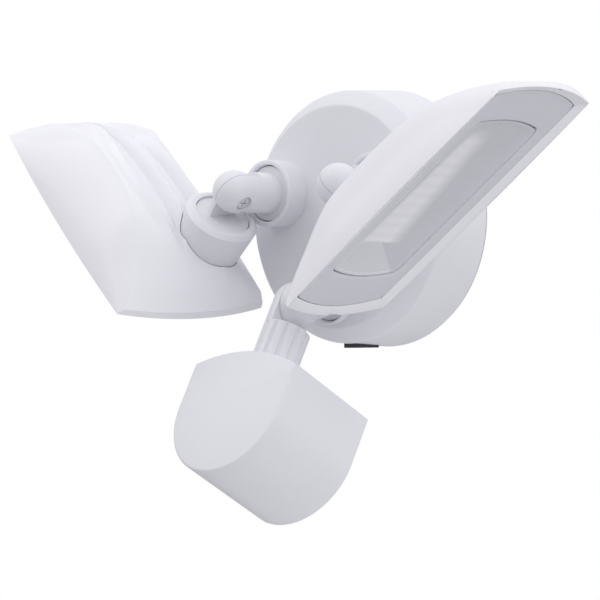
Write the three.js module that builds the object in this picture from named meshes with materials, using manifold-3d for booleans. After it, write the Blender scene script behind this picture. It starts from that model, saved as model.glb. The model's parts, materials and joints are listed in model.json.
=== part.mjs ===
// Twin-head floodlight with a camera pod on a round wall canopy.
// Millimetres. +X right and +Z up as seen by someone facing the wall, +Y into the wall.
// The origin is the middle of the canopy's back, in the plane of the wall.

import * as THREE from 'three';
import { mergeVertices } from 'three/addons/utils/BufferGeometryUtils.js';
import Module from 'manifold-3d';

const wasm = await Module();
wasm.setup();

// ---------------------------------------------------------------- driving dimensions

const GAP = 0.3; // running and seating clearance between neighbouring pieces

const CANOPY_RADIUS = 63.5; // at the wall
const CANOPY_SHOULDER_RADIUS = 61.7; // where the front chamfer starts
const CANOPY_FACE_RADIUS = 54.5;
const CANOPY_SHOULDER_DEPTH = 33;
const CANOPY_DEPTH = 41.2;
const CANOPY_WALL = 2.5;
const GASKET_THICKNESS = 1.7;

const LAMP_ARM_X = 34.8; // lamp arms, left and right of the middle
const LAMP_ARM_Z = 12.4;
const LAMP_ARM_REACH = 34; // canopy face to knuckle centre
const LAMP_BOSS = { radius: 16.5, height: 12, recess: 14, floor: 4 };

const POD_ARM_Z = -36.3;
const POD_ARM_REACH = 27.8;
const POD_ARM_DROOP = 15; // degrees below the canopy's normal
const POD_BOSS = { radius: 14.8, height: 9, recess: 13.2, floor: 4.2 };

const FLANGE_SET = 2.1; // the arm's flange sits this far below the socket's rim

const JOURNAL_RADIUS = 7.2; // pivots of the arms and the stems
const ARM_RADIUS = 10;
const KNUCKLE_RADIUS = 10.4;
const STEM_NECK = 8; // the lamp stem's neck under the ball
const KNUCKLE_OPEN = 12.5; // the arm's full tube stops this far from the knuckle centre
const SCREW_RADIUS = 1.8;

// Resting angles in degrees: turn of the arm, lean of the stem, swivel of the lamp.
const LEFT_REST = { turn: 42.5, lean: 8.0, swivel: -8.4 };
const RIGHT_REST = { turn: 41.6, lean: 4.1, swivel: -7.6 };
const LAMP_FACE_TILT = { x: 2.7, y: -2.3 }; // lamp face against its swivel axis
const FACE_FROM_KNUCKLE = { x: -43.2, y: -19.7, z: -51.4 };

const CUP = { top: -14.3, rim: 16.4, shoulder: -16.5, radius: 18.6, foot: 15.4, bottom: -41 };
const CUP_RECESS = 14;
const CUP_FLOOR = { top: -18.6, bottom: -22.1 };
const CUP_CUT = 13.6; // height over the lamp face where the cup's foot is trimmed

const LAMP_HALF_LENGTH = 70.3;
const LAMP_HALF_WIDTH = 40.5;
const LAMP_END_BOW = 6.5;
const LAMP_WALL = 2.3;
const PLATE = { halfLength: 66.4, halfWidth: 35.2, bow: 6, front: 2, back: 4 };
const WINDOW = { halfLength: 49.1, halfWidth: 26.9, bow: 3.6 };

const POD_HALF_WIDTH = 33.2;
const POD_TOP = 23.6; // top corners over the centre of the round bottom
const POD_TOP_BOW = 7;
const POD_LENGTH = 56.3;
const POD_WALL = 2.4;
const POD_LEAN = 29.2; // the pod's length points down by this much, degrees
const POD_STEM_RADIUS = 11.5;
const POD_STEM_SET = 17.6; // stem axis from the pod's closed end
const POD_STEM_HEIGHT = 64.3; // knuckle centre over the centre of the round bottom
const POD_SEAT = 31.2; // flat seat on the pod's arched top
const POD_COLLAR = -13.5; // top of the fluted collar, from the knuckle centre

// ---------------------------------------------------------------- finishes

const finish = (color, roughness, metalness = 0) => ({ color, roughness, metalness });
const WHITE = finish(0xe4e3e9, 0.45);
const LAMP_WHITE = finish(0xe9e8ee, 0.35);
const PLATE_WHITE = finish(0xcfced6, 0.55);
const LENS = finish(0xd9d9e2, 0.2);
const MIRROR = finish(0xdfe0e4, 0.15, 0.9);
const LED = finish(0xf4f2dc, 0.4);
const STEEL = finish(0xb9bbc0, 0.35, 1);
const BRIGHT_SCREW = finish(0xcfd0d5, 0.35, 0.8);
const RUBBER = finish(0x2b2b2e, 0.85);
const BOARD = finish(0x1f5b3a, 0.5);
const BLACK = finish(0x18181b, 0.3);
const DARK_GLASS = finish(0x0c0c10, 0.05);
const MILKY = finish(0xe8e8ea, 0.3);
const YELLOW_TAPE = finish(0xd8b23a, 0.5);

// ---------------------------------------------------------------- solids

const radians = THREE.MathUtils.degToRad;

function signedVolume(positions, triangles) {
  let volume = 0;
  const corner = (index) => new THREE.Vector3().fromArray(positions, 3 * index);
  for (let i = 0; i < triangles.length; i += 3) {
    const [a, b, c] = [0, 1, 2].map((k) => corner(triangles[i + k]));
    volume += a.dot(b.cross(c)) / 6;
  }
  return volume;
}

// A closed three.js geometry as a solid, with its faces pointing out.
function solid(geometry) {
  const bare = geometry.clone();
  bare.deleteAttribute('normal');
  bare.deleteAttribute('uv');
  const merged = mergeVertices(bare, 1e-4);
  const vertProperties = Float32Array.from(merged.attributes.position.array);
  const triVerts = Uint32Array.from(merged.index.array);
  if (signedVolume(vertProperties, triVerts) < 0) {
    triVerts.reverse();
  }
  return new wasm.Manifold(new wasm.Mesh({ numProp: 3, vertProperties, triVerts }));
}

function geometryOf(body) {
  const { numProp, vertProperties, triVerts } = body.getMesh();
  const positions = [];
  for (let i = 0; i < vertProperties.length; i += numProp) {
    positions.push(...vertProperties.slice(i, i + 3));
  }
  const geometry = new THREE.BufferGeometry();
  geometry.setAttribute('position', new THREE.Float32BufferAttribute(positions, 3));
  geometry.setIndex(Array.from(triVerts));
  return geometry;
}

const join = (first, ...others) => others.reduce((whole, part) => whole.add(part), first);
const cut = (first, ...others) => others.reduce((whole, part) => whole.subtract(part), first);

function box(x0, x1, y0, y1, z0, z1) {
  const geometry = new THREE.BoxGeometry(x1 - x0, y1 - y0, z1 - z0);
  geometry.translate((x0 + x1) / 2, (y0 + y1) / 2, (z0 + z1) / 2);
  return solid(geometry);
}

// Turns [radius, height] points about an axis: the height runs along +X, +Y or +Z.
function turned(points, axis, steps = 32) {
  const outline = points.map(([radius, height]) => new THREE.Vector2(radius, height));
  const geometry = new THREE.LatheGeometry(outline, steps);
  if (axis === 'x') {
    geometry.rotateZ(-Math.PI / 2);
  }
  if (axis === 'z') {
    geometry.rotateX(Math.PI / 2);
  }
  return solid(geometry);
}

function rod(radius, from, to, axis, steps = 24) {
  return turned([[0, from], [radius, from], [radius, to], [0, to]], axis, steps);
}

function ring(outer, inner, from, to, axis, steps = 32) {
  return turned([[inner, from], [outer, from], [outer, to], [inner, to], [inner, from]], axis, steps);
}

function arc(centre, radius, fromDegrees, toDegrees, steps) {
  const points = [];
  for (let i = 0; i <= steps; i += 1) {
    const angle = radians(fromDegrees + ((toDegrees - fromDegrees) * i) / steps);
    points.push([centre[0] + radius * Math.cos(angle), centre[1] + radius * Math.sin(angle)]);
  }
  return points;
}

// Extrudes an outline of [x, y] points along +Z between two heights.
function plate(points, from, to) {
  const shape = new THREE.Shape(points.map(([x, y]) => new THREE.Vector2(x, y)));
  const geometry = new THREE.ExtrudeGeometry(shape, { depth: to - from, bevelEnabled: false });
  geometry.translate(0, 0, from);
  return solid(geometry);
}

// Triangles that fill a flat outline of [x, y] points, wound in the outline's own order.
function fill(outline) {
  const points = outline.map(([x, y]) => new THREE.Vector2(x, y));
  const anticlockwise = THREE.ShapeUtils.area(points) > 0;
  return THREE.ShapeUtils.triangulateShape(points, []).map(([a, b, c]) => {
    const turn = THREE.ShapeUtils.area([points[a], points[b], points[c]]) > 0;
    return turn === anticlockwise ? [a, b, c] : [a, c, b];
  });
}

// Joins rings of points, all of one length, into a closed skin with flat ends.
function loft(rings) {
  const count = rings[0].length;
  const triangles = [];
  for (let i = 0; i + 1 < rings.length; i += 1) {
    for (let j = 0; j < count; j += 1) {
      const [a, b] = [i * count + j, i * count + ((j + 1) % count)];
      triangles.push(a, b, b + count, a, b + count, a + count);
    }
  }
  const last = (rings.length - 1) * count;
  for (const [a, b, c] of fill(rings[0].map(([, y, z]) => [y, z]))) {
    triangles.push(a, c, b);
  }
  for (const [a, b, c] of fill(rings.at(-1).map(([, y, z]) => [y, z]))) {
    triangles.push(last + a, last + b, last + c);
  }
  const geometry = new THREE.BufferGeometry();
  geometry.setAttribute('position', new THREE.Float32BufferAttribute(rings.flat(2), 3));
  geometry.setIndex(triangles);
  return solid(geometry);
}

// The same solid mirrored left to right, for the right-hand lamp.
function mirrored(body) {
  const { numProp, vertProperties, triVerts } = body.getMesh();
  const vertices = Float32Array.from(vertProperties);
  for (let i = 0; i < vertices.length; i += numProp) {
    vertices[i] = -vertices[i];
  }
  const triangles = Uint32Array.from(triVerts).reverse();
  return new wasm.Manifold(new wasm.Mesh({ numProp, vertProperties: vertices, triVerts: triangles }));
}

function placed(body, matrix) {
  const geometry = geometryOf(body);
  geometry.applyMatrix4(matrix);
  return solid(geometry);
}

function add(parent, name, body, { color, roughness, metalness }) {
  const material = new THREE.MeshStandardMaterial({ color, roughness, metalness });
  const mesh = new THREE.Mesh(geometryOf(body), material);
  mesh.name = name;
  parent.add(mesh);
}

function group(parent, [x, y, z], [rx, ry, rz] = [0, 0, 0]) {
  const child = new THREE.Group();
  child.position.set(x, y, z);
  child.rotation.set(radians(rx), radians(ry), radians(rz));
  parent.add(child);
  return child;
}

// ---------------------------------------------------------------- canopy

// Every arm stands on the canopy's face, with its axis along the local -Y.
const armMatrix = (x, z, droop) => new THREE.Matrix4()
  .makeTranslation(x, -CANOPY_DEPTH, z)
  .multiply(new THREE.Matrix4().makeRotationX(radians(droop)));

const ARM_SEATS = [
  { matrix: armMatrix(-LAMP_ARM_X, LAMP_ARM_Z, 0), boss: LAMP_BOSS },
  { matrix: armMatrix(LAMP_ARM_X, LAMP_ARM_Z, 0), boss: LAMP_BOSS },
  { matrix: armMatrix(0, POD_ARM_Z, POD_ARM_DROOP), boss: POD_BOSS },
];

const BOARD_POSTS = [[-24, 36], [24, 36], [-24, -18], [24, -18]];
const BOARD_FACE = -25.6; // front side of the driver board
const LOCK_SCREW_Y = -9;

function canopyShell() {
  const back = -GASKET_THICKNESS - GAP;
  const outside = turned([
    [0, back], [CANOPY_RADIUS, back], [CANOPY_SHOULDER_RADIUS, -CANOPY_SHOULDER_DEPTH],
    [CANOPY_SHOULDER_RADIUS - 0.5, -CANOPY_SHOULDER_DEPTH - 1],
    [CANOPY_FACE_RADIUS + 0.6, -CANOPY_DEPTH + 0.3],
    [CANOPY_FACE_RADIUS - 0.4, -CANOPY_DEPTH], [0, -CANOPY_DEPTH],
  ], 'y', 40);
  const hollow = turned([
    [0, 1], [CANOPY_RADIUS - CANOPY_WALL, 1],
    [CANOPY_SHOULDER_RADIUS - CANOPY_WALL, -CANOPY_SHOULDER_DEPTH + 1],
    [CANOPY_FACE_RADIUS - 1, -CANOPY_DEPTH + CANOPY_WALL], [0, -CANOPY_DEPTH + CANOPY_WALL],
  ], 'y', 40);
  let body = outside.subtract(hollow);
  for (const { matrix } of ARM_SEATS) {
    body = body.subtract(placed(rod(JOURNAL_RADIUS + GAP, -4, 14, 'y', 24), matrix));
  }
  for (const [x, z] of BOARD_POSTS) {
    const post = rod(2.8, -CANOPY_DEPTH + 1, BOARD_FACE - GAP, 'y', 8);
    const pilot = rod(1.5, -32, -20, 'y', 8);
    body = body.add(post.translate([x, 0, z])).subtract(pilot.translate([x, 0, z]));
  }
  const screwHole = rod(2.4, -CANOPY_RADIUS - 2, -CANOPY_RADIUS + 6, 'z', 12);
  const screwSeat = rod(4.2, -CANOPY_RADIUS - 2, -CANOPY_RADIUS + 1.9, 'z', 16);
  return cut(body, screwHole.translate([0, LOCK_SCREW_Y, 0]), screwSeat.translate([0, LOCK_SCREW_Y, 0]));
}

// A round socket on the canopy's face, with a raised rim round the floor that the arm turns on.
function armCollar({ matrix, boss }) {
  const collar = turned([
    [JOURNAL_RADIUS + GAP, 6], [boss.radius, 6], [boss.radius, 1 - boss.height],
    [boss.radius - 1, -boss.height], [boss.recess, -boss.height], [boss.recess, -boss.floor],
    [JOURNAL_RADIUS + GAP, -boss.floor], [JOURNAL_RADIUS + GAP, 6],
  ], 'y', 24);
  return cut(placed(collar, matrix), box(-80, 80, -CANOPY_DEPTH - GAP, 0, -80, 80));
}

function wallBracket() {
  const strap = box(-11, 11, -2.5, 0, -56, 56);
  const slot = join(
    box(-2.4, 2.4, -4, 2, 34, 48),
    rod(2.4, -4, 2, 'y', 16).translate([0, 0, 34]),
    rod(2.4, -4, 2, 'y', 16).translate([0, 0, 48]),
  );
  const lowerTab = box(-8, 8, -16, 0, -56.6, -54.2);
  const upperTab = box(-8, 8, -12, 0, 54.2, 56.6);
  const threadHole = rod(1.7, -60, -50, 'z', 16).translate([0, LOCK_SCREW_Y, 0]);
  return cut(join(strap, lowerTab, upperTab), slot, slot.translate([0, 0, -82]), threadHole);
}

// A round-head screw along an axis; the head's top is at `top` and the shank runs to `tip`.
function screw(headRadius, shankRadius, headHeight, top, tip, axis) {
  const way = Math.sign(tip - top);
  const seat = top + way * headHeight;
  const profile = [
    [0, tip], [shankRadius, tip], [shankRadius, seat], [headRadius, seat],
    [headRadius, top + way * 0.9], [headRadius - 1, top], [0, top],
  ];
  const body = turned(profile, axis, 12);
  const reach = headRadius * 0.62;
  const slotHalf = 0.45;
  const [low, high] = [Math.min(top - way, top + way * 1.1), Math.max(top - way, top + way * 1.1)];
  const bar = (a, b) => (axis === 'x' ? box(low, high, -a, a, -b, b) : box(-a, a, -b, b, low, high));
  return cut(body, bar(reach, slotHalf), bar(slotHalf, reach));
}

function addCanopy(root) {
  add(root, 'canopy_shell', canopyShell(), WHITE);
  ['left_collar', 'right_collar', 'pod_collar'].forEach((name, index) => {
    add(root, name, armCollar(ARM_SEATS[index]), WHITE);
  });
  add(root, 'wall_bracket', wallBracket(), STEEL);
  add(root, 'canopy_gasket', ring(62.2, 57.9, -GASKET_THICKNESS, 0, 'y', 40), RUBBER);

  const lockScrew = screw(3.7, 1.4, 1.1, -CANOPY_RADIUS + 0.5, -CANOPY_RADIUS + 10.5, 'z');
  add(root, 'canopy_lock_screw', lockScrew.translate([0, LOCK_SCREW_Y, 0]), BRIGHT_SCREW);

  const screwHoles = BOARD_POSTS.map(([x, z]) => rod(1.5, -40, -20, 'y', 8).translate([x, 0, z]));
  const driverBoard = cut(box(-29, 29, BOARD_FACE, BOARD_FACE + 1.6, -23, 41), ...screwHoles);
  add(root, 'driver_board', driverBoard, BOARD);
  const onBoard = BOARD_FACE + 1.6 + GAP;
  const core = join(
    box(-22, 2, onBoard, onBoard + 13, -8, 16),
    box(-19, -1, onBoard, onBoard + 16, -5, 13),
  );
  add(root, 'driver_transformer', core, YELLOW_TAPE);
  const can = turned([
    [0, onBoard], [7, onBoard], [7, onBoard + 15], [6, onBoard + 16], [0, onBoard + 16],
  ], 'y', 24);
  add(root, 'driver_capacitor', can.translate([15, 0, 6]), BLACK);
  const terminals = [-9, -3, 3, 9].map((x) => box(x - 2, x + 2, onBoard + 3, onBoard + 8, 30, 42));
  const block = cut(box(-13, 13, onBoard, onBoard + 11, 24, 35), ...terminals);
  add(root, 'terminal_block', block, MILKY);
  [[-24, 36], [24, -18]].forEach(([x, z], index) => {
    const head = turned([
      [0, onBoard - GAP - 6], [1.2, onBoard - GAP - 6], [1.2, onBoard], [2.6, onBoard],
      [2.6, onBoard + 1.2], [1.9, onBoard + 1.8], [0, onBoard + 1.8],
    ], 'y', 16);
    add(root, `driver_board_screw_${index + 1}`, head.translate([x, 0, z]), BRIGHT_SCREW);
  });
}

// ---------------------------------------------------------------- arms and knuckles

// The tube runs along -Y from the canopy and ends in the +X half of the knuckle ball.
function armBody(boss, reach, ballRadius) {
  const seat = -boss.floor - GAP;
  const centre = -reach;
  const tubeMeetsBall = centre + Math.sqrt(ballRadius ** 2 - ARM_RADIUS ** 2);
  const startAngle = THREE.MathUtils.radToDeg(Math.acos(ARM_RADIUS / ballRadius)) - 12;
  const ball = arc([0, centre], ballRadius, startAngle, -90, 5).map(([r, y]) => [Math.max(r, 0), y]);
  const flange = boss.recess - 0.6;
  const flangeFace = FLANGE_SET - boss.height;
  const body = turned([
    [0, 12], [JOURNAL_RADIUS - 0.6, 12], [JOURNAL_RADIUS, 11.4], [JOURNAL_RADIUS, seat],
    [flange, seat], [flange, flangeFace + 0.6], [flange - 0.6, flangeFace], [ARM_RADIUS, flangeFace],
    [ARM_RADIUS, tubeMeetsBall], ...ball,
  ], 'y', 24);
  const halfClear = box(-20, GAP / 2, centre - 20, centre + KNUCKLE_OPEN, -20, 20);
  const bore = rod(SCREW_RADIUS + GAP, -1, 20, 'x', 12);
  const headSeat = rod(4.2, 7.6, 14, 'x', 16);
  const washerPocket = rod(6.3, 0, 1.75, 'x', 12);
  const drill = join(bore, headSeat, washerPocket).translate([0, centre, 0]);
  return cut(body, halfClear, drill);
}

// Screw, washer and nut on the knuckle's cross axis, all centred on the knuckle.
const knuckleScrew = () => screw(3.4, SCREW_RADIUS, 2.1, 10.1, -9.3, 'x');
const frictionWasher = () => ring(5.9, SCREW_RADIUS + GAP, 0.15, 1.45, 'x', 12);
const knuckleNut = () => cut(rod(3.6, -9.6, -6.6, 'x', 6), rod(SCREW_RADIUS + GAP, -12, 0, 'x', 12));
const nutPocket = () => rod(4.0, -14, -6.3, 'x', 6);
const screwBore = () => rod(SCREW_RADIUS + GAP, -14, 1, 'x', 12);

function hexNut(inner, halfFlats, from, to, axis) {
  const hexagon = rod(halfFlats / Math.cos(Math.PI / 6), from, to, axis, 6);
  return cut(hexagon, rod(inner, from - 1, to + 1, axis, 16));
}

// The lamp's stem: the -X half of the ball, carried down to a round foot in the swivel cup.
function lampStem() {
  const footTop = CUP.top - 1.2;
  const foot = CUP_RECESS - GAP;
  const under = -THREE.MathUtils.radToDeg(Math.acos(STEM_NECK / KNUCKLE_RADIUS));
  const dome = arc([0, 0], KNUCKLE_RADIUS, under, 90, 6).map(([r, z]) => [Math.max(r, 0), z]);
  const body = turned([
    [0, -30.3], [JOURNAL_RADIUS, -30.3], [JOURNAL_RADIUS, CUP_FLOOR.top + GAP],
    [foot, CUP_FLOOR.top + GAP], [foot, footTop], [STEM_NECK, footTop], ...dome,
  ], 'z', 24);
  return cut(body, box(-GAP / 2, 20, -20, 20, footTop, 20), nutPocket(), screwBore());
}

// The pod's stem is the same knuckle half over a fluted collar.
function podStem() {
  const seat = POD_SEAT + GAP - POD_STEM_HEIGHT;
  const dome = arc([0, 0], POD_STEM_RADIUS, 0, 90, 6).map(([r, z]) => [Math.max(r, 0), z]);
  const body = turned([
    [0, seat - 11], [JOURNAL_RADIUS, seat - 11], [JOURNAL_RADIUS, seat],
    [POD_STEM_RADIUS, seat], ...dome,
  ], 'z', 36);
  const flutes = [];
  for (let i = 0; i < 12; i += 1) {
    const angle = (2 * Math.PI * (i + 0.5)) / 12;
    const flute = rod(1.7, seat - 1, POD_COLLAR - 1, 'z', 6);
    const reach = POD_STEM_RADIUS + 0.9;
    flutes.push(flute.translate([reach * Math.cos(angle), reach * Math.sin(angle), 0]));
  }
  const clear = box(-GAP / 2, 20, -20, 20, POD_COLLAR, 20);
  return cut(body, clear, rod(4.0, -14, -7.2, 'x', 6), screwBore(), ...flutes);
}

// ---------------------------------------------------------------- lamp housing

// A smooth curve through [position, height] points.
function profile(points) {
  const curve = new THREE.SplineCurve(points.map(([x, y]) => new THREE.Vector2(x, y)));
  const samples = curve.getPoints(120);
  return (x) => {
    const next = samples.findIndex((point) => point.x >= x);
    if (next <= 0) {
      return next === 0 ? samples[0].y : samples[samples.length - 1].y;
    }
    const [a, b] = [samples[next - 1], samples[next]];
    return a.y + ((b.y - a.y) * (x - a.x)) / (b.x - a.x);
  };
}

// Height of the back along the lamp: over the front crest and over the rearmost rib.
const crestHeight = profile([
  [-70.3, 2.6], [-65, 9], [-57, 15.4], [-49, 20.8], [-36, 27.2], [-21, 31], [0, 32.4],
  [15, 32.2], [31, 30], [41, 25.5], [52, 18], [61, 11.5], [70.3, 3.5],
]);
const ribHeight = profile([
  [-70.3, 5], [-57, 14.2], [-40, 23.8], [-20, 28.6], [0, 30.2], [20, 30], [35, 27.5], [50, 20.5],
  [61, 13], [70.3, 4.5],
]);
const crestLine = (l) => -20.5 - 16.5 * THREE.MathUtils.clamp((l - 5) / 65, 0, 1) ** 2;
const firstRib = (l) => -11 + 11 * (l / 55) ** 2;
const secondRib = (l) => 5 - 5 * THREE.MathUtils.clamp((l - 10) / 40, 0, 1) ** 2;
const LAST_RIB = 19;

const REAR_EDGE = 6.8; // height of the upright edge on the wall side

// One cross-section of the lamp's back as [across, height] points, front edge to wall edge.
function backSection(l, flankSteps = 4) {
  const bow = 1 - (l / LAMP_HALF_LENGTH) ** 2;
  const front = -LAMP_HALF_WIDTH - 2.4 * bow;
  const rear = LAMP_HALF_WIDTH + 2.0 * bow;
  const crest = crestLine(l);
  const [high, low] = [crestHeight(l), ribHeight(l)];
  const points = [];
  for (let i = 0; i < flankSteps; i += 1) {
    const angle = (Math.PI / 2) * (i / flankSteps);
    const straight = i / flankSteps;
    const across = 0.45 * (1 - Math.cos(angle)) + 0.55 * straight;
    const up = 0.45 * Math.sin(angle) + 0.55 * straight;
    points.push([front + (crest - front) * across, high * up]);
  }
  points.push([crest, high]);
  const level = (s) => high + ((low - high) * (s - crest)) / (LAST_RIB - crest);
  const depth = Math.min(5.2, 0.17 * high);
  const ribs = [Math.max(firstRib(l), crest + 5), secondRib(l), LAST_RIB];
  points.push([(crest + ribs[0]) / 2, level((crest + ribs[0]) / 2) - 0.22 * depth]);
  ribs.forEach((rib, index) => {
    points.push([rib, level(rib)]);
    if (index < 2) {
      const width = ribs[index + 1] - rib;
      points.push([rib + 0.22 * width, level(rib + 0.22 * width) - depth]);
      points.push([rib + 0.6 * width, level(rib + 0.6 * width) - 0.72 * depth]);
    }
  });
  const edge = Math.min(REAR_EDGE, 0.8 * low);
  points.push([30, edge + 0.5 * (low - edge) + 0.8]);
  points.push([rear - 0.6, edge]);
  points.push([rear, 0]);
  return points;
}

const endBow = (l, s) => {
  const reach = Math.abs(l) / LAMP_HALF_LENGTH;
  return Math.sign(l) * LAMP_END_BOW * reach ** 3 * (1 - (s / (LAMP_HALF_WIDTH + 2)) ** 2);
};

const STATIONS = [
  -70.3, -66.5, -61, -53, -42, -30, -16, 0, 14, 25, 34, 42, 51, 61, 70.3,
];

function lampOutside() {
  return loft(STATIONS.map((l) => {
    const back = backSection(l);
    const [front, rear] = [back[0][0], back.at(-1)[0]];
    for (const share of [0.15, 0.32, 0.5, 0.68, 0.85]) {
      back.push([rear + (front - rear) * share, 0]);
    }
    return back.map(([s, b]) => [l + endBow(l, s), s, b]);
  }));
}

const GROOVE_REACH = 4; // the roof keeps clear of any groove this near to it

// Height of the hollow's roof across one cross-section, the wall's thickness inside the back.
function roofOver(l) {
  const section = backSection(l);
  const over = (s) => {
    const next = section.findIndex(([across]) => across >= s);
    if (next <= 0) {
      return 0;
    }
    const [[s0, b0], [s1, b1]] = [section[next - 1], section[next]];
    return b0 + ((b1 - b0) * (s - s0)) / (s1 - s0);
  };
  return (s) => {
    const reach = s > crestLine(l) ? GROOVE_REACH : 0;
    const lowest = Math.min(over(s - reach), over(s), over(s + reach));
    return Math.min(lowest - LAMP_WALL, 0.96 * over(s / 0.93));
  };
}

const HOLLOW_STATIONS = [-60, -50, -38, -22, 0, 20, 36, 50, 60];
const HOLLOW_SHARES = [0, 0.06, 0.16, 0.3, 0.42, 0.54, 0.62, 0.7, 0.8, 0.92, 1];

// The hollow behind the face plate.
function lampInside() {
  const floor = PLATE.back + GAP - 0.1;
  return loft(HOLLOW_STATIONS.map((l) => {
    const roof = roofOver(l * 1.04);
    const open = [];
    for (let s = -40; s <= 40; s += 0.5) {
      if (roof(s) > floor + 0.4) {
        open.push(s);
      }
    }
    const [front, rear] = [open[0], open.at(-1)];
    const across = HOLLOW_SHARES.map((share) => front + share * (rear - front));
    return [[l, front, floor], ...across.map((s) => [l, s, roof(s)]), [l, rear, floor]];
  }));
}

// Outline of a face plate or window: straight sides and bowed ends.
function faceOutline({ halfLength, halfWidth, bow }, grow = 0) {
  const [length, width] = [halfLength + grow, halfWidth + grow];
  const radius = (halfWidth ** 2 + bow ** 2) / (2 * bow);
  const sweep = THREE.MathUtils.radToDeg(Math.asin(width / radius));
  const centre = length + bow - radius;
  return [
    ...arc([centre, 0], radius, -sweep, sweep, 8),
    ...arc([-centre, 0], radius, 180 - sweep, 180 + sweep, 8),
  ];
}

function lampHousing(cupClearance) {
  const rim = { halfLength: LAMP_HALF_LENGTH - 0.7, halfWidth: LAMP_HALF_WIDTH - 0.7, bow: LAMP_END_BOW };
  const outer = faceOutline(rim);
  const inner = faceOutline(PLATE, GAP);
  const bevel = loftBetween(outer, -0.01, inner, PLATE.front);
  const pocket = plate(inner, PLATE.front - 0.5, PLATE.back + GAP);
  const tray = plate(faceOutline(PLATE, GAP + 1.3), 1, PLATE.back + GAP + 1.1);
  return cut(join(lampOutside(), tray), lampInside(), bevel, pocket, cupClearance);
}

// A solid between two outlines of the same count at two heights along Z.
function loftBetween(low, lowHeight, high, highHeight) {
  const count = low.length;
  const positions = [
    ...low.flatMap(([x, y]) => [x, y, lowHeight]),
    ...high.flatMap(([x, y]) => [x, y, highHeight]),
  ];
  const triangles = [];
  for (let i = 0; i < count; i += 1) {
    const next = (i + 1) % count;
    triangles.push(i, next, count + next, i, count + next, count + i);
  }
  for (const [a, b, c] of fill(low)) {
    triangles.push(a, c, b, count + a, count + b, count + c);
  }
  const geometry = new THREE.BufferGeometry();
  geometry.setAttribute('position', new THREE.Float32BufferAttribute(positions, 3));
  geometry.setIndex(triangles);
  return solid(geometry);
}

// The trough behind the window: widest at the lens, narrowing to a slot for the LEDs.
const REFLECTOR = { front: 7.5, back: 16, slotFront: -19, slotRear: -5, slotLow: -38, slotHigh: 22 };

function reflector() {
  const mouth = [[48, -26], [48, 26], [-48, 26], [-48, -26]];
  const throat = [
    [REFLECTOR.slotHigh, REFLECTOR.slotFront], [REFLECTOR.slotHigh, REFLECTOR.slotRear],
    [REFLECTOR.slotLow, REFLECTOR.slotRear], [REFLECTOR.slotLow, REFLECTOR.slotFront],
  ];
  const grown = (points, by) => points.map(([x, y], index) => (
    [x + (index < 2 ? by : -by), y + (index === 1 || index === 2 ? by : -by)]
  ));
  const outside = join(
    loftBetween(grown(mouth, 1), REFLECTOR.front, grown(throat, 1), REFLECTOR.back),
    plate(grown(mouth, 2.4), REFLECTOR.front, REFLECTOR.front + 1.2),
  );
  const inside = loftBetween(mouth, REFLECTOR.front - 0.01, throat, REFLECTOR.back + 0.01);
  return cut(outside, inside);
}

function ledBoard() {
  const base = REFLECTOR.back + GAP;
  let board = box(-38.5, 22.5, -21, -3.5, base, base + 1.6);
  for (let row = 0; row < 2; row += 1) {
    for (let column = 0; column < 9; column += 1) {
      const x = -34.5 + column * 6.6;
      const y = -15.4 + row * 6.6;
      board = board.add(box(x - 1.7, x + 1.7, y - 1.7, y + 1.7, base - 0.9, base + 0.4));
    }
  }
  return board;
}

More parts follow.
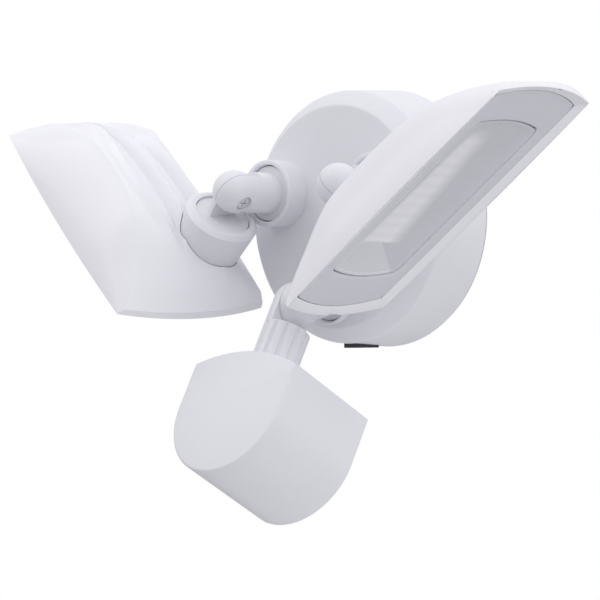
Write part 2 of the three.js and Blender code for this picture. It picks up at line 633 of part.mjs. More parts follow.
function addLamp(root, name, hand, rest) {
  const shape = (body) => (hand > 0 ? body : mirrored(body));
  const arm = group(root, [-hand * LAMP_ARM_X, -CANOPY_DEPTH, LAMP_ARM_Z], [0, hand * rest.turn, 0]);
  add(arm, `${name}_arm`, shape(armBody(LAMP_BOSS, LAMP_ARM_REACH, KNUCKLE_RADIUS)), WHITE);
  const nutBase = CANOPY_WALL + GAP;
  add(arm, `${name}_arm_lock_nut`, hexNut(JOURNAL_RADIUS + GAP, 10.5, nutBase, nutBase + 4, 'y'), STEEL);

  const pivot = group(arm, [0, -LAMP_ARM_REACH, 0]);
  add(pivot, `${name}_knuckle_screw`, shape(knuckleScrew()), BRIGHT_SCREW);
  add(pivot, `${name}_friction_washer`, shape(frictionWasher()), RUBBER);

  const stem = group(pivot, [0, 0, 0], [rest.lean, 0, 0]);
  add(stem, `${name}_stem`, shape(lampStem()), WHITE);
  add(stem, `${name}_knuckle_nut`, shape(knuckleNut()), BRIGHT_SCREW);
  const clip = hexNut(JOURNAL_RADIUS + GAP, 10, CUP_FLOOR.bottom - GAP - 4, CUP_FLOOR.bottom - GAP, 'z');
  add(stem, `${name}_stem_lock_nut`, clip, STEEL);

  const swivel = group(stem, [0, 0, 0], [0, 0, hand * rest.swivel]);
  const toFace = new THREE.Matrix4()
    .makeRotationY(radians(LAMP_FACE_TILT.y))
    .multiply(new THREE.Matrix4().makeRotationX(radians(LAMP_FACE_TILT.x)))
    .multiply(new THREE.Matrix4().makeTranslation(
      FACE_FROM_KNUCKLE.x, FACE_FROM_KNUCKLE.y, FACE_FROM_KNUCKLE.z,
    ));
  const fromFace = toFace.clone().invert();
  const cupOutside = (grow) => turned([
    [0, CUP.bottom], [CUP.foot + grow, CUP.bottom], [CUP.radius + grow, CUP.shoulder],
    [CUP.rim + grow, CUP.top + grow], [0, CUP.top + grow],
  ], 'z', 28);
  const trim = placed(box(-60, 60, -60, 60, -30, CUP_CUT), toFace);
  const recess = rod(CUP_RECESS, CUP_FLOOR.top, 0, 'z', 28);
  const journalHole = rod(JOURNAL_RADIUS + GAP, -60, 0, 'z', 20);
  const hollow = rod(12.6, -60, CUP_FLOOR.bottom, 'z', 24);
  const cup = cut(cupOutside(0), recess, journalHole, hollow, trim);
  add(swivel, `${name}_swivel_cup`, shape(cup), WHITE);

  const turnedFace = group(swivel, [0, 0, 0], [0, hand * LAMP_FACE_TILT.y, 0]);
  const face = group(turnedFace, [0, 0, 0], [LAMP_FACE_TILT.x, 0, 0]);
  const lamp = group(face, [hand * FACE_FROM_KNUCKLE.x, FACE_FROM_KNUCKLE.y, FACE_FROM_KNUCKLE.z]);
  const cupClearance = placed(cupOutside(GAP), fromFace);
  add(lamp, `${name}_lamp_housing`, shape(lampHousing(cupClearance)), LAMP_WHITE);

  const windowCut = plate(faceOutline(WINDOW), 0, 10);
  const facePlate = cut(plate(faceOutline(PLATE), PLATE.front, PLATE.back), windowCut);
  add(lamp, `${name}_face_plate`, shape(facePlate), PLATE_WHITE);
  const lens = join(
    plate(faceOutline(WINDOW, -0.5), PLATE.front + 0.5, PLATE.back + GAP + 0.5),
    plate(faceOutline(WINDOW, 1.6), PLATE.back + GAP, PLATE.back + GAP + 1.5),
  );
  add(lamp, `${name}_lens`, shape(lens), LENS);
  const gasketBase = PLATE.back + 2 * GAP + 1.5;
  const gasket = cut(
    plate(faceOutline(WINDOW, 1.6), gasketBase, gasketBase + 1),
    plate(faceOutline(WINDOW, -1.6), gasketBase - 1, gasketBase + 2),
  );
  add(lamp, `${name}_lens_gasket`, shape(gasket), RUBBER);
  add(lamp, `${name}_reflector`, shape(reflector()), MIRROR);
  add(lamp, `${name}_led_board`, shape(ledBoard()), LED);
}

// ---------------------------------------------------------------- camera pod

// D-shaped outline in X and Z, drawn in by an inset: arched top, round bottom.
function podOutline(inset = 0) {
  const half = POD_HALF_WIDTH - inset;
  const corner = POD_TOP - inset;
  const radius = (POD_HALF_WIDTH ** 2 + POD_TOP_BOW ** 2) / (2 * POD_TOP_BOW) - inset;
  const centre = POD_TOP + POD_TOP_BOW - radius - inset;
  const sweep = THREE.MathUtils.radToDeg(Math.asin(half / radius));
  const arch = arc([0, centre], radius, 90 + sweep, 90 - sweep, 8);
  const top = arch.map(([x, z]) => [x, Math.max(z, corner - 2)]);
  return [...arc([0, 0], half, 0, -180, 22), ...top];
}

// Extrudes an X-Z outline along the pod's length.
function podPlate(points, from, to) {
  const flat = plate(points, -to, -from);
  return placed(flat, new THREE.Matrix4().makeRotationX(Math.PI / 2));
}

const LENS_Z = 6;
const DOME_Z = -19;
const BUTTON = { y: 30, z: 0, radius: 3 };

function podHousing() {
  const edge = 1.2;
  const rounded = join(
    podPlate(podOutline(0), edge, POD_LENGTH),
    podPlate(podOutline(edge * 0.3), edge * 0.3, POD_LENGTH - 1),
    podPlate(podOutline(edge), 0, POD_LENGTH - 1),
  );
  const seat = rod(POD_STEM_RADIUS + 1.2, 20, POD_SEAT, 'z', 28).translate([0, POD_STEM_SET, 0]);
  const hollow = podPlate(podOutline(POD_WALL), POD_WALL, POD_LENGTH + 2);
  const stemHole = rod(JOURNAL_RADIUS + GAP, 10, 40, 'z', 20).translate([0, POD_STEM_SET, 0]);
  const buttonHole = rod(BUTTON.radius + GAP, -40, -20, 'x', 20).translate([0, BUTTON.y, BUTTON.z]);
  return cut(join(rounded, seat), hollow, stemHole, buttonHole);
}

const roundedBox = (halfWidth, low, high, corner) => [
  ...arc([halfWidth - corner, high - corner], corner, 0, 90, 5),
  ...arc([corner - halfWidth, high - corner], corner, 90, 180, 5),
  ...arc([corner - halfWidth, low + corner], corner, 180, 270, 5),
  ...arc([halfWidth - corner, low + corner], corner, 270, 360, 5),
];

function addPodFront(pod) {
  const front = POD_LENGTH - 0.6;
  const domeHole = rod(8.3, 40, 70, 'y', 20).translate([0, 0, DOME_Z]);
  const microphoneHole = rod(0.8, 40, 70, 'y', 10).translate([18, 0, -12]);
  const bezel = cut(
    podPlate(podOutline(POD_WALL + GAP), front - 3, front),
    podPlate(roundedBox(24, -7, 20, 5), front - 1.7, front + 2),
    podPlate(roundedBox(22, -5, 18, 4), front - 5, front + 2),
    domeHole,
    microphoneHole,
  );
  add(pod, 'front_bezel', bezel, WHITE);
  const glass = podPlate(roundedBox(23.6, -6.6, 19.6, 4.7), front - 1.4, front - 0.1);
  add(pod, 'front_glass', glass, DARK_GLASS);
  const barrel = turned([
    [0, 39.6], [8.5, 39.6], [8.5, 44.5], [7, 44.5], [7, 53.4], [5.9, 53.4], [5.9, 50.6], [0, 50.6],
  ], 'y', 24);
  add(pod, 'lens_barrel', barrel.translate([0, 0, LENS_Z]), BLACK);
  const element = turned([
    [0, 50.9], [5.5, 50.9], [5.5, 51.6], [4.4, 52.4], [2.6, 53], [0, 53.2],
  ], 'y', 20);
  add(pod, 'lens_element', element.translate([0, 0, LENS_Z]), DARK_GLASS);

  let infrared = podPlate(roundedBox(20.5, -4, 17.2, 2), 46, 47.4);
  infrared = infrared.subtract(rod(7.4, 40, 60, 'y', 20).translate([0, 0, LENS_Z]));
  for (const x of [-16, -11.5, 11.5, 16]) {
    for (const z of [0, 6, 12]) {
      const diode = turned([[0, 47], [1.6, 47], [1.6, 49.2], [0, 50.2]], 'y', 8);
      infrared = infrared.add(diode.translate([x, 0, z]));
    }
  }
  add(pod, 'infrared_board', infrared, BLACK);
  add(pod, 'main_board', podPlate(roundedBox(25, -17, 18, 2), 37.6, 39.2), BOARD);

  const rim = front - 3.3;
  const bulge = (radius, height) => arc([0, 0], 1, 0, 90, 5).map(([r, y]) => [
    r > 0.01 ? r * radius : 0, front - 1.8 + y * height,
  ]);
  const dome = turned([
    [6.8, rim - 1.2], [9.6, rim - 1.2], [9.6, rim], [7.9, rim], ...bulge(7.9, 5.8),
    ...bulge(6.8, 4.8).reverse(), [6.8, rim - 1.2],
  ], 'y', 20);
  add(pod, 'motion_dome', dome.translate([0, 0, DOME_Z]), MILKY);
  const sensor = turned([
    [0, 40], [3.6, 40], [3.6, 44.4], [4.6, 44.4], [4.6, 45.2], [4.1, 45.2], [4.1, 49], [0, 49],
  ], 'y', 16);
  add(pod, 'motion_sensor', sensor.translate([0, 0, DOME_Z]), STEEL);
}

function addPod(root) {
  const droop = [POD_ARM_DROOP, 0, 0];
  const arm = group(root, [0, -CANOPY_DEPTH, POD_ARM_Z], droop);
  add(arm, 'pod_arm', armBody(POD_BOSS, POD_ARM_REACH, POD_STEM_RADIUS), WHITE);
  const nutBase = CANOPY_WALL + 3.6;
  add(arm, 'pod_arm_lock_nut', hexNut(JOURNAL_RADIUS + GAP, 9.5, nutBase, nutBase + 4, 'y'), STEEL);
  const pivot = group(arm, [0, -POD_ARM_REACH, 0]);
  add(pivot, 'pod_knuckle_screw', knuckleScrew(), BRIGHT_SCREW);
  add(pivot, 'pod_friction_washer', frictionWasher(), RUBBER);
  const stem = group(pivot, [0, 0, 0], [-POD_ARM_DROOP - POD_LEAN, 0, 0]);
  add(stem, 'pod_stem', podStem(), WHITE);
  add(stem, 'pod_knuckle_nut', knuckleNut().translate([-1, 0, 0]), BRIGHT_SCREW);

  const pod = group(stem, [0, -POD_STEM_SET, -POD_STEM_HEIGHT]);
  const clipTop = POD_SEAT - 11.2;
  const clip = hexNut(JOURNAL_RADIUS + GAP, 10, clipTop - 0.6, clipTop + 2.4, 'z');
  add(pod, 'pod_stem_lock_nut', clip.translate([0, POD_STEM_SET, 0]), STEEL);
  add(pod, 'pod_housing', podHousing(), WHITE);
  addPodFront(pod);
  const speaker = turned([
    [0, 24], [9, 24], [9, 29], [13, 32], [13, 34.5], [0, 34.5],
  ], 'y', 24);
  add(pod, 'speaker', speaker.translate([0, 0, -8]), BLACK);
  const wall = -POD_HALF_WIDTH;
  const button = turned([
    [0, wall - 0.8], [BUTTON.radius - 0.4, wall - 0.8], [BUTTON.radius, wall - 0.4],
    [BUTTON.radius, wall + POD_WALL + GAP], [4.2, wall + POD_WALL + GAP],
    [4.2, wall + POD_WALL + 1.4], [0, wall + POD_WALL + 1.4],
  ], 'x', 20);
  add(pod, 'reset_button', button.translate([0, BUTTON.y, BUTTON.z]), BLACK);
  const switchFace = wall + POD_WALL + 1.4 + 1.1;
  add(pod, 'reset_switch', box(switchFace, switchFace + 3.5, BUTTON.y - 3, BUTTON.y + 3, -3, 3), BLACK);
}

// ---------------------------------------------------------------- assembly

const floodlight = new THREE.Group();
addCanopy(floodlight);
addLamp(floodlight, 'left', 1, LEFT_REST);
addLamp(floodlight, 'right', -1, RIGHT_REST);
addPod(floodlight);

export default floodlight;
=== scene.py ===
"""A twin-head floodlight with a camera pod on a round wall canopy, in metres.

+X is right and +Z is up for someone facing the wall, and +Y goes into the wall.
"""

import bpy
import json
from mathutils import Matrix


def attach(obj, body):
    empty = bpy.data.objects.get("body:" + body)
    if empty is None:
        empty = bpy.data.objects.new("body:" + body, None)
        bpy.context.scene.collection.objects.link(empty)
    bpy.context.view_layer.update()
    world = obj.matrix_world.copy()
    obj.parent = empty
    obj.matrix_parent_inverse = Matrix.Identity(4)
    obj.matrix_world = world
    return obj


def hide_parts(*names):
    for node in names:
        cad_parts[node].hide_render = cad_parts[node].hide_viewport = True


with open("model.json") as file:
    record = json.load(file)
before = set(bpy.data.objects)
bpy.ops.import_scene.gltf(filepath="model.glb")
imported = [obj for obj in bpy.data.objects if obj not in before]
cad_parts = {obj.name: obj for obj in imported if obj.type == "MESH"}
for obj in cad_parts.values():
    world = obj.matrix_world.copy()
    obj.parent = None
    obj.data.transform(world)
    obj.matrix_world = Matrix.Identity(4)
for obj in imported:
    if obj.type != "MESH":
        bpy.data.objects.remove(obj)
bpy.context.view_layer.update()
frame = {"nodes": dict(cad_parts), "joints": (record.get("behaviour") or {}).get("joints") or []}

import json
import math

import bpy
from mathutils import Matrix, Vector

# ------------------------------------------------------------------ camera
# A long lens a little over a metre away, level with the lower half of the light,
# looking at it from the right-hand side of its front.
CAMERA_PLACE = (0.8763, -0.9731, -0.0601)
CAMERA_AZIMUTH = math.radians(44.0)
CAMERA_ELEVATION = math.radians(-0.88)
CAMERA_ROLL = math.radians(-0.46)

camera = bpy.data.objects.new("camera", bpy.data.cameras.new("camera"))
bpy.context.scene.collection.objects.link(camera)
camera.data.sensor_width = 36
camera.data.lens = 158.24
camera.data.clip_start = 0.05
back = Vector((
    math.sin(CAMERA_AZIMUTH) * math.cos(CAMERA_ELEVATION),
    -math.cos(CAMERA_AZIMUTH) * math.cos(CAMERA_ELEVATION),
    math.sin(CAMERA_ELEVATION),
))
aim = (-back).to_track_quat("-Z", "Y").to_matrix().to_4x4()
camera.matrix_world = Matrix.Translation(CAMERA_PLACE) @ aim @ Matrix.Rotation(CAMERA_ROLL, 4, "Z")
bpy.context.scene.camera = camera

# ------------------------------------------------------------------ canopy cover
# The round cover of the wall canopy: one injection-moulded white plastic shell with a drawn-in
# side, a broad chamfer and a flat face. It hooks over the wall bracket and one screw below
# holds it. Four posts inside carry the driver board.
MM = 0.001


def circle(radius, height, steps=96):
    """A round ring of points about +Z."""
    turn = 2 * math.pi / steps
    return [(radius * math.cos(i * turn), radius * math.sin(i * turn), height) for i in range(steps)]


def deselect():
    if bpy.context.object and bpy.context.object.mode != "OBJECT":
        bpy.ops.object.mode_set(mode="OBJECT")
    bpy.ops.object.select_all(action="DESELECT")


def pulled_out(name, rings, closed=False):
    """Starts from a circle and extrudes its edge from ring to ring; the ends are filled."""
    deselect()
    bpy.ops.mesh.primitive_circle_add(vertices=len(rings[0]), radius=1)
    piece = bpy.context.object
    piece.name = name
    piece.data.name = name
    for vertex, place in zip(piece.data.vertices, rings[0]):
        vertex.co = place
    place_to_index = {tuple(vertex.co): vertex.index for vertex in piece.data.vertices}
    bpy.ops.object.mode_set(mode="EDIT")
    bpy.ops.mesh.select_all(action="SELECT")
    for ring in rings[1:] + (rings[:1] if closed else []):
        bpy.ops.mesh.extrude_region_move()
        bpy.ops.object.mode_set(mode="OBJECT")
        moved = {}
        for vertex in piece.data.vertices:
            if vertex.select:
                index = place_to_index[tuple(vertex.co)]
                vertex.co = ring[index]
                moved[tuple(vertex.co)] = index
        place_to_index = moved
        bpy.ops.object.mode_set(mode="EDIT")
    bpy.ops.mesh.select_all(action="SELECT")
    bpy.ops.mesh.remove_doubles(threshold=1e-6)
    if not closed:
        bpy.ops.mesh.fill_holes(sides=0)
    bpy.ops.mesh.normals_make_consistent(inside=False)
    bpy.ops.object.mode_set(mode="OBJECT")
    return piece


def turned(name, points, steps=96, closed=False):
    """Spins [radius, height] points in millimetres about +Z."""
    rings = [circle(max(radius, 0.02) * MM, height * MM, steps) for radius, height in points]
    return pulled_out(name, rings, closed)


def standing(place, up, across):
    """A frame at a place with +Z along up and +X along across."""
    up = Vector(up).normalized()
    across = Vector(across).normalized()
    rows = Matrix((across, up.cross(across), up)).transposed().to_4x4()
    return Matrix.Translation(place) @ rows


def settle(piece, matrix):
    """Puts the piece's place into its mesh, with its faces outwards."""
    piece.data.transform(matrix)
    if matrix.determinant() < 0:
        piece.data.flip_normals()
    piece.data.update()


def carve(piece, *cutters):
    for cutter in cutters:
        cut = piece.modifiers.new("cut", "BOOLEAN")
        cut.operation = "DIFFERENCE"
        cut.solver = "EXACT"
        cut.object = cutter
        deselect()
        bpy.context.view_layer.objects.active = piece
        bpy.ops.object.modifier_apply(modifier="cut")
        bpy.data.objects.remove(cutter)


def soften(piece, width, segments=3, angle=32):
    """Rounds the sharp edges by a width in millimetres and shades the rest smooth."""
    deselect()
    piece.select_set(True)
    bpy.context.view_layer.objects.active = piece
    if width:
        bevel = piece.modifiers.new("edges", "BEVEL")
        bevel.width = width * MM
        bevel.segments = segments
        bevel.limit_method = "ANGLE"
        bevel.angle_limit = math.radians(angle)
        bevel.harden_normals = False
        bpy.ops.object.modifier_apply(modifier="edges")
    bpy.ops.object.shade_smooth_by_angle(angle=math.radians(35))


def block(name, low, high):
    """A box between two corners in millimetres."""
    deselect()
    low, high = Vector(low) * MM, Vector(high) * MM
    bpy.ops.mesh.primitive_cube_add(size=1, location=(low + high) / 2)
    piece = bpy.context.object
    piece.name = name
    piece.scale = high - low
    bpy.ops.object.transform_apply(location=True, rotation=True, scale=True)
    return piece


def joined(pieces):
    deselect()
    for piece in pieces:
        piece.select_set(True)
    bpy.context.view_layer.objects.active = pieces[0]
    bpy.ops.object.join()
    return pieces[0]


def place_on(piece, body, slot, *nodes):
    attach(piece, body)
    if nodes:
        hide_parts(*nodes)


class Signal:
    """A number that changes over a surface. Arithmetic on it adds Math nodes."""

    def __init__(self, finish, socket):
        self.finish = finish
        self.socket = socket

    def math(self, operation, first, second):
        node = self.finish.node("ShaderNodeMath", {"operation": operation}, {0: first, 1: second})
        return Signal(self.finish, node.outputs[0])

    def __add__(self, other):
        return self.math("ADD", self, other)

    __radd__ = __add__

    def __sub__(self, other):
        return self.math("SUBTRACT", self, other)

    def __rsub__(self, other):
        return self.math("SUBTRACT", other, self)

    def __mul__(self, other):
        return self.math("MULTIPLY", self, other)

    __rmul__ = __mul__

    def above(self, edge, softness):
        """Climbs from 0 to 1 as the number passes the edge."""
        low, high = edge - softness / 2, edge + softness / 2
        settings = {"clamp": True}
        node = self.finish.node("ShaderNodeMapRange", settings, {0: self, 1: low, 2: high})
        return Signal(self.finish, node.outputs[0])


class Finish:
    """A node material, with its surface patterns in the object's own metres."""

    def __init__(self, name, roughness=0.5, metallic=0.0, **settings):
        self.material = bpy.data.materials.new(name)
        self.material.use_nodes = True
        self.tree = self.material.node_tree
        self.shader = self.tree.nodes["Principled BSDF"]
        self.shader.inputs["Roughness"].default_value = roughness
        self.shader.inputs["Metallic"].default_value = metallic
        for socket, value in settings.items():
            self.shader.inputs[socket.replace("_", " ")].default_value = value
        self.place = self.node("ShaderNodeTexCoord").outputs["Object"]

    def node(self, kind, settings=None, inputs=None):
        node = self.tree.nodes.new(kind)
        for name, value in (settings or {}).items():
            setattr(node, name, value)
        for key, value in (inputs or {}).items():
            self.feed(node.inputs[key], value)
        return node

    def feed(self, socket, value):
        if isinstance(value, Signal):
            value = value.socket
        if isinstance(value, bpy.types.NodeSocket):
            self.tree.links.new(value, socket)
        else:
            socket.default_value = value

    def noise(self, size, detail=2.0, roughness=0.5):
        """Cloudy variation, 0 to 1, whose blobs are about `size` metres across."""
        inputs = {"Vector": self.place, "Scale": 1 / size, "Detail": detail, "Roughness": roughness}
        return Signal(self, self.node("ShaderNodeTexNoise", None, inputs).outputs[0])

    def blend(self, factor, one, other):
        node = self.node("ShaderNodeMix", {"data_type": "RGBA"}, {0: factor, 6: one, 7: other})
        return node.outputs[2]

    def colour(self, value):
        self.feed(self.shader.inputs["Base Color"], value)

    def rough(self, value):
        self.feed(self.shader.inputs["Roughness"], value)

    def bump(self, height, strength, distance):
        inputs = {"Strength": strength, "Distance": distance, "Height": height}
        node = self.node("ShaderNodeBump", None, inputs)
        self.feed(self.shader.inputs["Normal"], node.outputs[0])

    def paint(self, *pieces):
        for piece in pieces:
            piece.data.materials.clear()
            piece.data.materials.append(self.material)


def moulded(name, colour, roughness, grain=0.25, spread=0.02, **settings):
    """Injection-moulded plastic: a faint uneven tone and a fine spark-eroded grain."""
    finish = Finish(name, roughness, **settings)
    tone = finish.noise(0.035, 2)
    light = (*[min(1, c * (1 + spread)) for c in colour], 1)
    dark = (*[c * (1 - spread) for c in colour], 1)
    finish.colour(finish.blend(tone, dark, light))
    fine = finish.noise(grain * MM, 3)
    patches = finish.noise(0.012, 3)
    finish.rough(roughness - 0.04 + 0.08 * patches + 0.03 * fine)
    finish.bump(fine, 0.12, 0.00002)
    return finish


white_plastic = moulded("white_plastic", (0.80, 0.80, 0.835), 0.42)

OUT_OF_WALL = standing((0, 0, 0), (0, -1, 0), (1, 0, 0))
cover = turned("canopy_cover", [
    [0, 38.7], [53.2, 38.7], [59.2, 32.2], [61.0, 2.0], [63.5, 2.0], [61.7, 33.2], [54.3, 41.2],
    [0, 41.2],
], 128)
soften(cover, 0.9, 4, 20)
posts = []
for x, z in ((-24, 36), (24, 36), (-24, -18), (24, -18)):
    post = turned("post", [[0, 26], [1.5, 26], [1.5, 25.9], [2.8, 25.9], [3.1, 39.5], [0, 39.5]], 32)
    settle(post, Matrix.Translation((x * MM, z * MM, 0)))
    soften(post, 0.2, 2)
    posts.append(post)
cover = joined([cover, *posts])
settle(cover, OUT_OF_WALL)
white_plastic.paint(cover)
place_on(cover, "canopy", "white_plastic", "canopy_shell")

# ------------------------------------------------------------------ arm collars
# Three round plastic sockets bonded on the canopy's face. Each has a raised rim round a sunk
# floor, and the foot of an arm turns in it on a journal that goes through to the inside.
joints = {joint["name"]: joint for joint in frame["joints"]}


def arm_frame(name):
    """The arm's frame: +Z out along the arm, +X along the knuckle's cross axis."""
    swivel = joints[f"{name}_arm_swivel"]
    knuckle = joints[f"{name}_knuckle"]
    out = Vector(swivel["axis"])
    if out.y > 0:
        out = -out
    across = Vector(knuckle["axis"])
    if across.x < 0:
        across = -across
    return standing(swivel["pos_m"], out, across)


def collar(name, radius, height, recess, floor):
    piece = turned(name, [
        [7.6, -6], [radius, -6], [radius, height], [recess, height], [recess, floor], [7.6, floor],
    ], closed=True)
    soften(piece, 0.8, 4)
    return piece


for name in ("left", "right"):
    piece = collar(f"{name}_arm_socket", 16.5, 12, 14, 4)
    settle(piece, arm_frame(name))
    white_plastic.paint(piece)
    place_on(piece, "canopy", "white_plastic", f"{name}_collar")
piece = collar("pod_arm_socket", 14.8, 9, 13.2, 4.2)
settle(piece, arm_frame("pod"))
white_plastic.paint(piece)
place_on(piece, "canopy", "white_plastic", "pod_collar")

# ------------------------------------------------------------------ arms
# Three white plastic tubes that end in half a ball. The other half of the ball belongs
# to the stem, and one cross screw through both clamps the knuckle.
KNUCKLE = 10.4
POD_KNUCKLE = 11.5
TUBE = 10.0
GAP = 0.15


def ball_arc(radius, start, end, centre, steps):
    """Points of a ball's outline from one angle to another, in degrees above its equator."""
    angles = [math.radians(start + (end - start) * i / steps) for i in range(steps + 1)]
    return [[max(radius * math.cos(a), 0), centre + radius * math.sin(a)] for a in angles]


def arm(name, reach, ball, recess, floor, rim):
    seat = floor + 0.3
    flange, face = recess - 0.6, rim - 2.1
    meet = -math.degrees(math.acos(TUBE / ball))
    piece = turned(name, [
        [0, -12], [6.8, -12], [7.2, -11.5], [7.2, seat], [flange, seat], [flange, face],
        [TUBE, face], *ball_arc(ball, meet, 90, reach, 16),
    ])
    half = block("half", (-20, -20, reach - 12.5), (GAP, 20, reach + 20))
    soften(half, 0)
    bore = turned("bore", [[0, 0], [4.2, 0], [4.2, 12], [0, 12]], 64)
    settle(bore, Matrix.Translation((7.6 * MM, 0, reach * MM)) @ Matrix.Rotation(math.pi / 2, 4, "Y"))
    carve(piece, half, bore)
    soften(piece, 0.45, 3)
    return piece


MIRROR = {"left": Matrix.Identity(4), "right": Matrix.Diagonal((-1, 1, 1, 1))}
REACH = 34.0
POD_REACH = 27.8
for name, mirror in MIRROR.items():
    piece = arm(f"{name}_arm_tube", REACH, KNUCKLE, 14, 4, 12)
    settle(piece, arm_frame(name) @ mirror)
    white_plastic.paint(piece)
    place_on(piece, f"{name}_arm", "white_plastic", f"{name}_arm")
piece = arm("pod_arm_tube", POD_REACH, POD_KNUCKLE, 13.2, 4.2, 9)
settle(piece, arm_frame("pod"))
white_plastic.paint(piece)
place_on(piece, "pod_arm", "white_plastic", "pod_arm")

# ------------------------------------------------------------------ knuckle screws
# A pan-head machine screw with a cross recess, zinc plated and painted over white with the arm,
# sunk in a round seat on the side of each ball.
painted_screw = moulded("painted_screw", (0.72, 0.72, 0.75), 0.38, 0.4)


def cross_screw(name, radius, top):
    """A screw along +Z whose head has its top at a height."""
    piece = turned(name, [
        [0, top - 12], [1.6, top - 12], [1.6, top - 2.1], [radius, top - 2.1], [radius, top - 0.9],
        [radius * 0.86, top - 0.25], [radius * 0.6, top], [0, top],
    ], 64)
    for turn in (0, math.pi / 2):
        wing = block("wing", (-radius * 0.66, -0.42, top - 1.2), (radius * 0.66, 0.42, top + 1))
        settle(wing, Matrix.Rotation(turn, 4, "Z"))
        carve(piece, wing)
    soften(piece, 0.12, 2)
    return piece


ALONG_X = Matrix.Rotation(math.pi / 2, 4, "Y")
for name, reach in (("left", REACH), ("right", REACH), ("pod", POD_REACH)):
    piece = cross_screw(f"{name}_knuckle_cross_screw", 3.5, 9.9 if name == "pod" else 9.0)
    mirror = MIRROR.get(name, Matrix.Identity(4))
    settle(piece, arm_frame(name) @ mirror @ Matrix.Translation((0, 0, reach * MM)) @ ALONG_X)
    painted_screw.paint(piece)
    place_on(piece, f"{name}_arm", "bright_screw", f"{name}_knuckle_screw")

# ------------------------------------------------------------------ lamp stems
# The stem is the other half of the knuckle's ball on a short neck. Its round foot turns in the
# cup on the lamp's back and lets the lamp swivel.


def stem_frame(name):
    """The stem's frame at the knuckle: +Z up the stem, +X along the cross axis."""
    knuckle = joints[f"{name}_knuckle"]
    swivel = joints[f"{name}_swivel" if name == "pod" else f"{name}_lamp_swivel"]
    up = Vector(swivel["axis"])
    if up.z < 0:
        up = -up
    across = Vector(knuckle["axis"])
    if across.x < 0:
        across = -across
    return standing(knuckle["pos_m"], up, across)


NECK = 8.0
for name, mirror in MIRROR.items():
    under = -math.degrees(math.acos(NECK / KNUCKLE))
    piece = turned(f"{name}_stem_neck", [
        [0, -30.3], [7.2, -30.3], [7.2, -18.3], [13.7, -18.3], [13.7, -15.5], [NECK + 0.4, -15.5],
        [NECK, -15], *ball_arc(KNUCKLE, under, 90, 0, 16),
    ])
    carve(piece, block("half", (-GAP, -20, -15.3), (20, 20, 20)))
    soften(piece, 0.4, 3)
    settle(piece, stem_frame(name) @ mirror)
    white_plastic.paint(piece)
    place_on(piece, f"{name}_stem", "white_plastic", f"{name}_stem")

# ------------------------------------------------------------------ swivel cups
# A round tapered cup screwed to the back of each lamp. The stem's foot sits in its recess,
# below a chamfered rim, and the cup's lower end is hidden in the lamp.
SWIVEL = {"left": -8.4, "right": -7.6}
FACE_TILT = (math.radians(2.7), math.radians(-2.3))
FACE_FROM_KNUCKLE = (-43.2, -19.7, -51.4)
CUP_CUT = 13.6
HAND = {"left": 1, "right": -1}


def cup_frame(name):
    hand = HAND[name]
    return stem_frame(name) @ Matrix.Rotation(math.radians(hand * SWIVEL[name]), 4, "Z") @ MIRROR[name]


def lamp_frame(name):
    """The lamp face's frame: +X towards its lower end, +Y to the wall, +Z into its back."""
    tilt = Matrix.Rotation(FACE_TILT[1], 4, "Y") @ Matrix.Rotation(FACE_TILT[0], 4, "X")
    return cup_frame(name) @ tilt @ Matrix.Translation(Vector(FACE_FROM_KNUCKLE) * MM)


def cut_below(piece, place, normal):
    """Slices the piece flat and drops what lies on the normal's side."""
    deselect()
    bpy.context.view_layer.objects.active = piece
    piece.select_set(True)
    bpy.ops.object.mode_set(mode="EDIT")
    bpy.ops.mesh.select_all(action="SELECT")
    bpy.ops.mesh.bisect(plane_co=place, plane_no=normal, use_fill=True, clear_outer=True)
    bpy.ops.object.mode_set(mode="OBJECT")


def cup_outline(grow):
    return [[15.4 + grow, -41], [18.6 + grow, -16.5], [16.4 + grow, -14.3 + grow]]


for name in HAND:
    piece = turned(f"{name}_cup", [
        [7.6, -41], *cup_outline(0), [14.1, -14.3], [14.1, -18.6], [7.6, -18.6],
    ], closed=True)
    settle(piece, cup_frame(name))
    face = lamp_frame(name)
    down = -(face.to_3x3() @ Vector((0, 0, 1)))
    cut_below(piece, face @ Vector((0, 0, CUP_CUT * MM)), down)
    soften(piece, 0.5, 3)
    white_plastic.paint(piece)
    place_on(piece, f"{name}_lamp", "white_plastic", f"{name}_swivel_cup")

# ------------------------------------------------------------------ lamp housings
# The back of each lamp head: a thin gloss-white moulding, rounded along its front flank, with
# three long ribs that fade towards the ends, and a bevelled rim round the sunk face plate.
HALF_LENGTH = 70.3
HALF_WIDTH = 40.5
END_BOW = 6.5
LAST_RIB = 19.0
REAR_EDGE = 6.8
PLATE = (66.4, 35.2, 6.0)
PLATE_FRONT = 2.0
PLATE_BACK = 4.0


def curve_through(points):
    """A smooth curve through [position, height] points."""
    slopes = []
    for i in range(len(points)):
        before, after = points[max(i - 1, 0)], points[min(i + 1, len(points) - 1)]
        slopes.append((after[1] - before[1]) / (after[0] - before[0]))

    def height(x):
        for (x0, y0), (x1, y1), m0, m1 in zip(points, points[1:], slopes, slopes[1:]):
            if x <= x1 or x1 == points[-1][0]:
                t = min(max((x - x0) / (x1 - x0), 0), 1)
                width = x1 - x0
                return (
                    (2 * t**3 - 3 * t**2 + 1) * y0 + (t**3 - 2 * t**2 + t) * width * m0
                    + (3 * t**2 - 2 * t**3) * y1 + (t**3 - t**2) * width * m1
                )

    return height


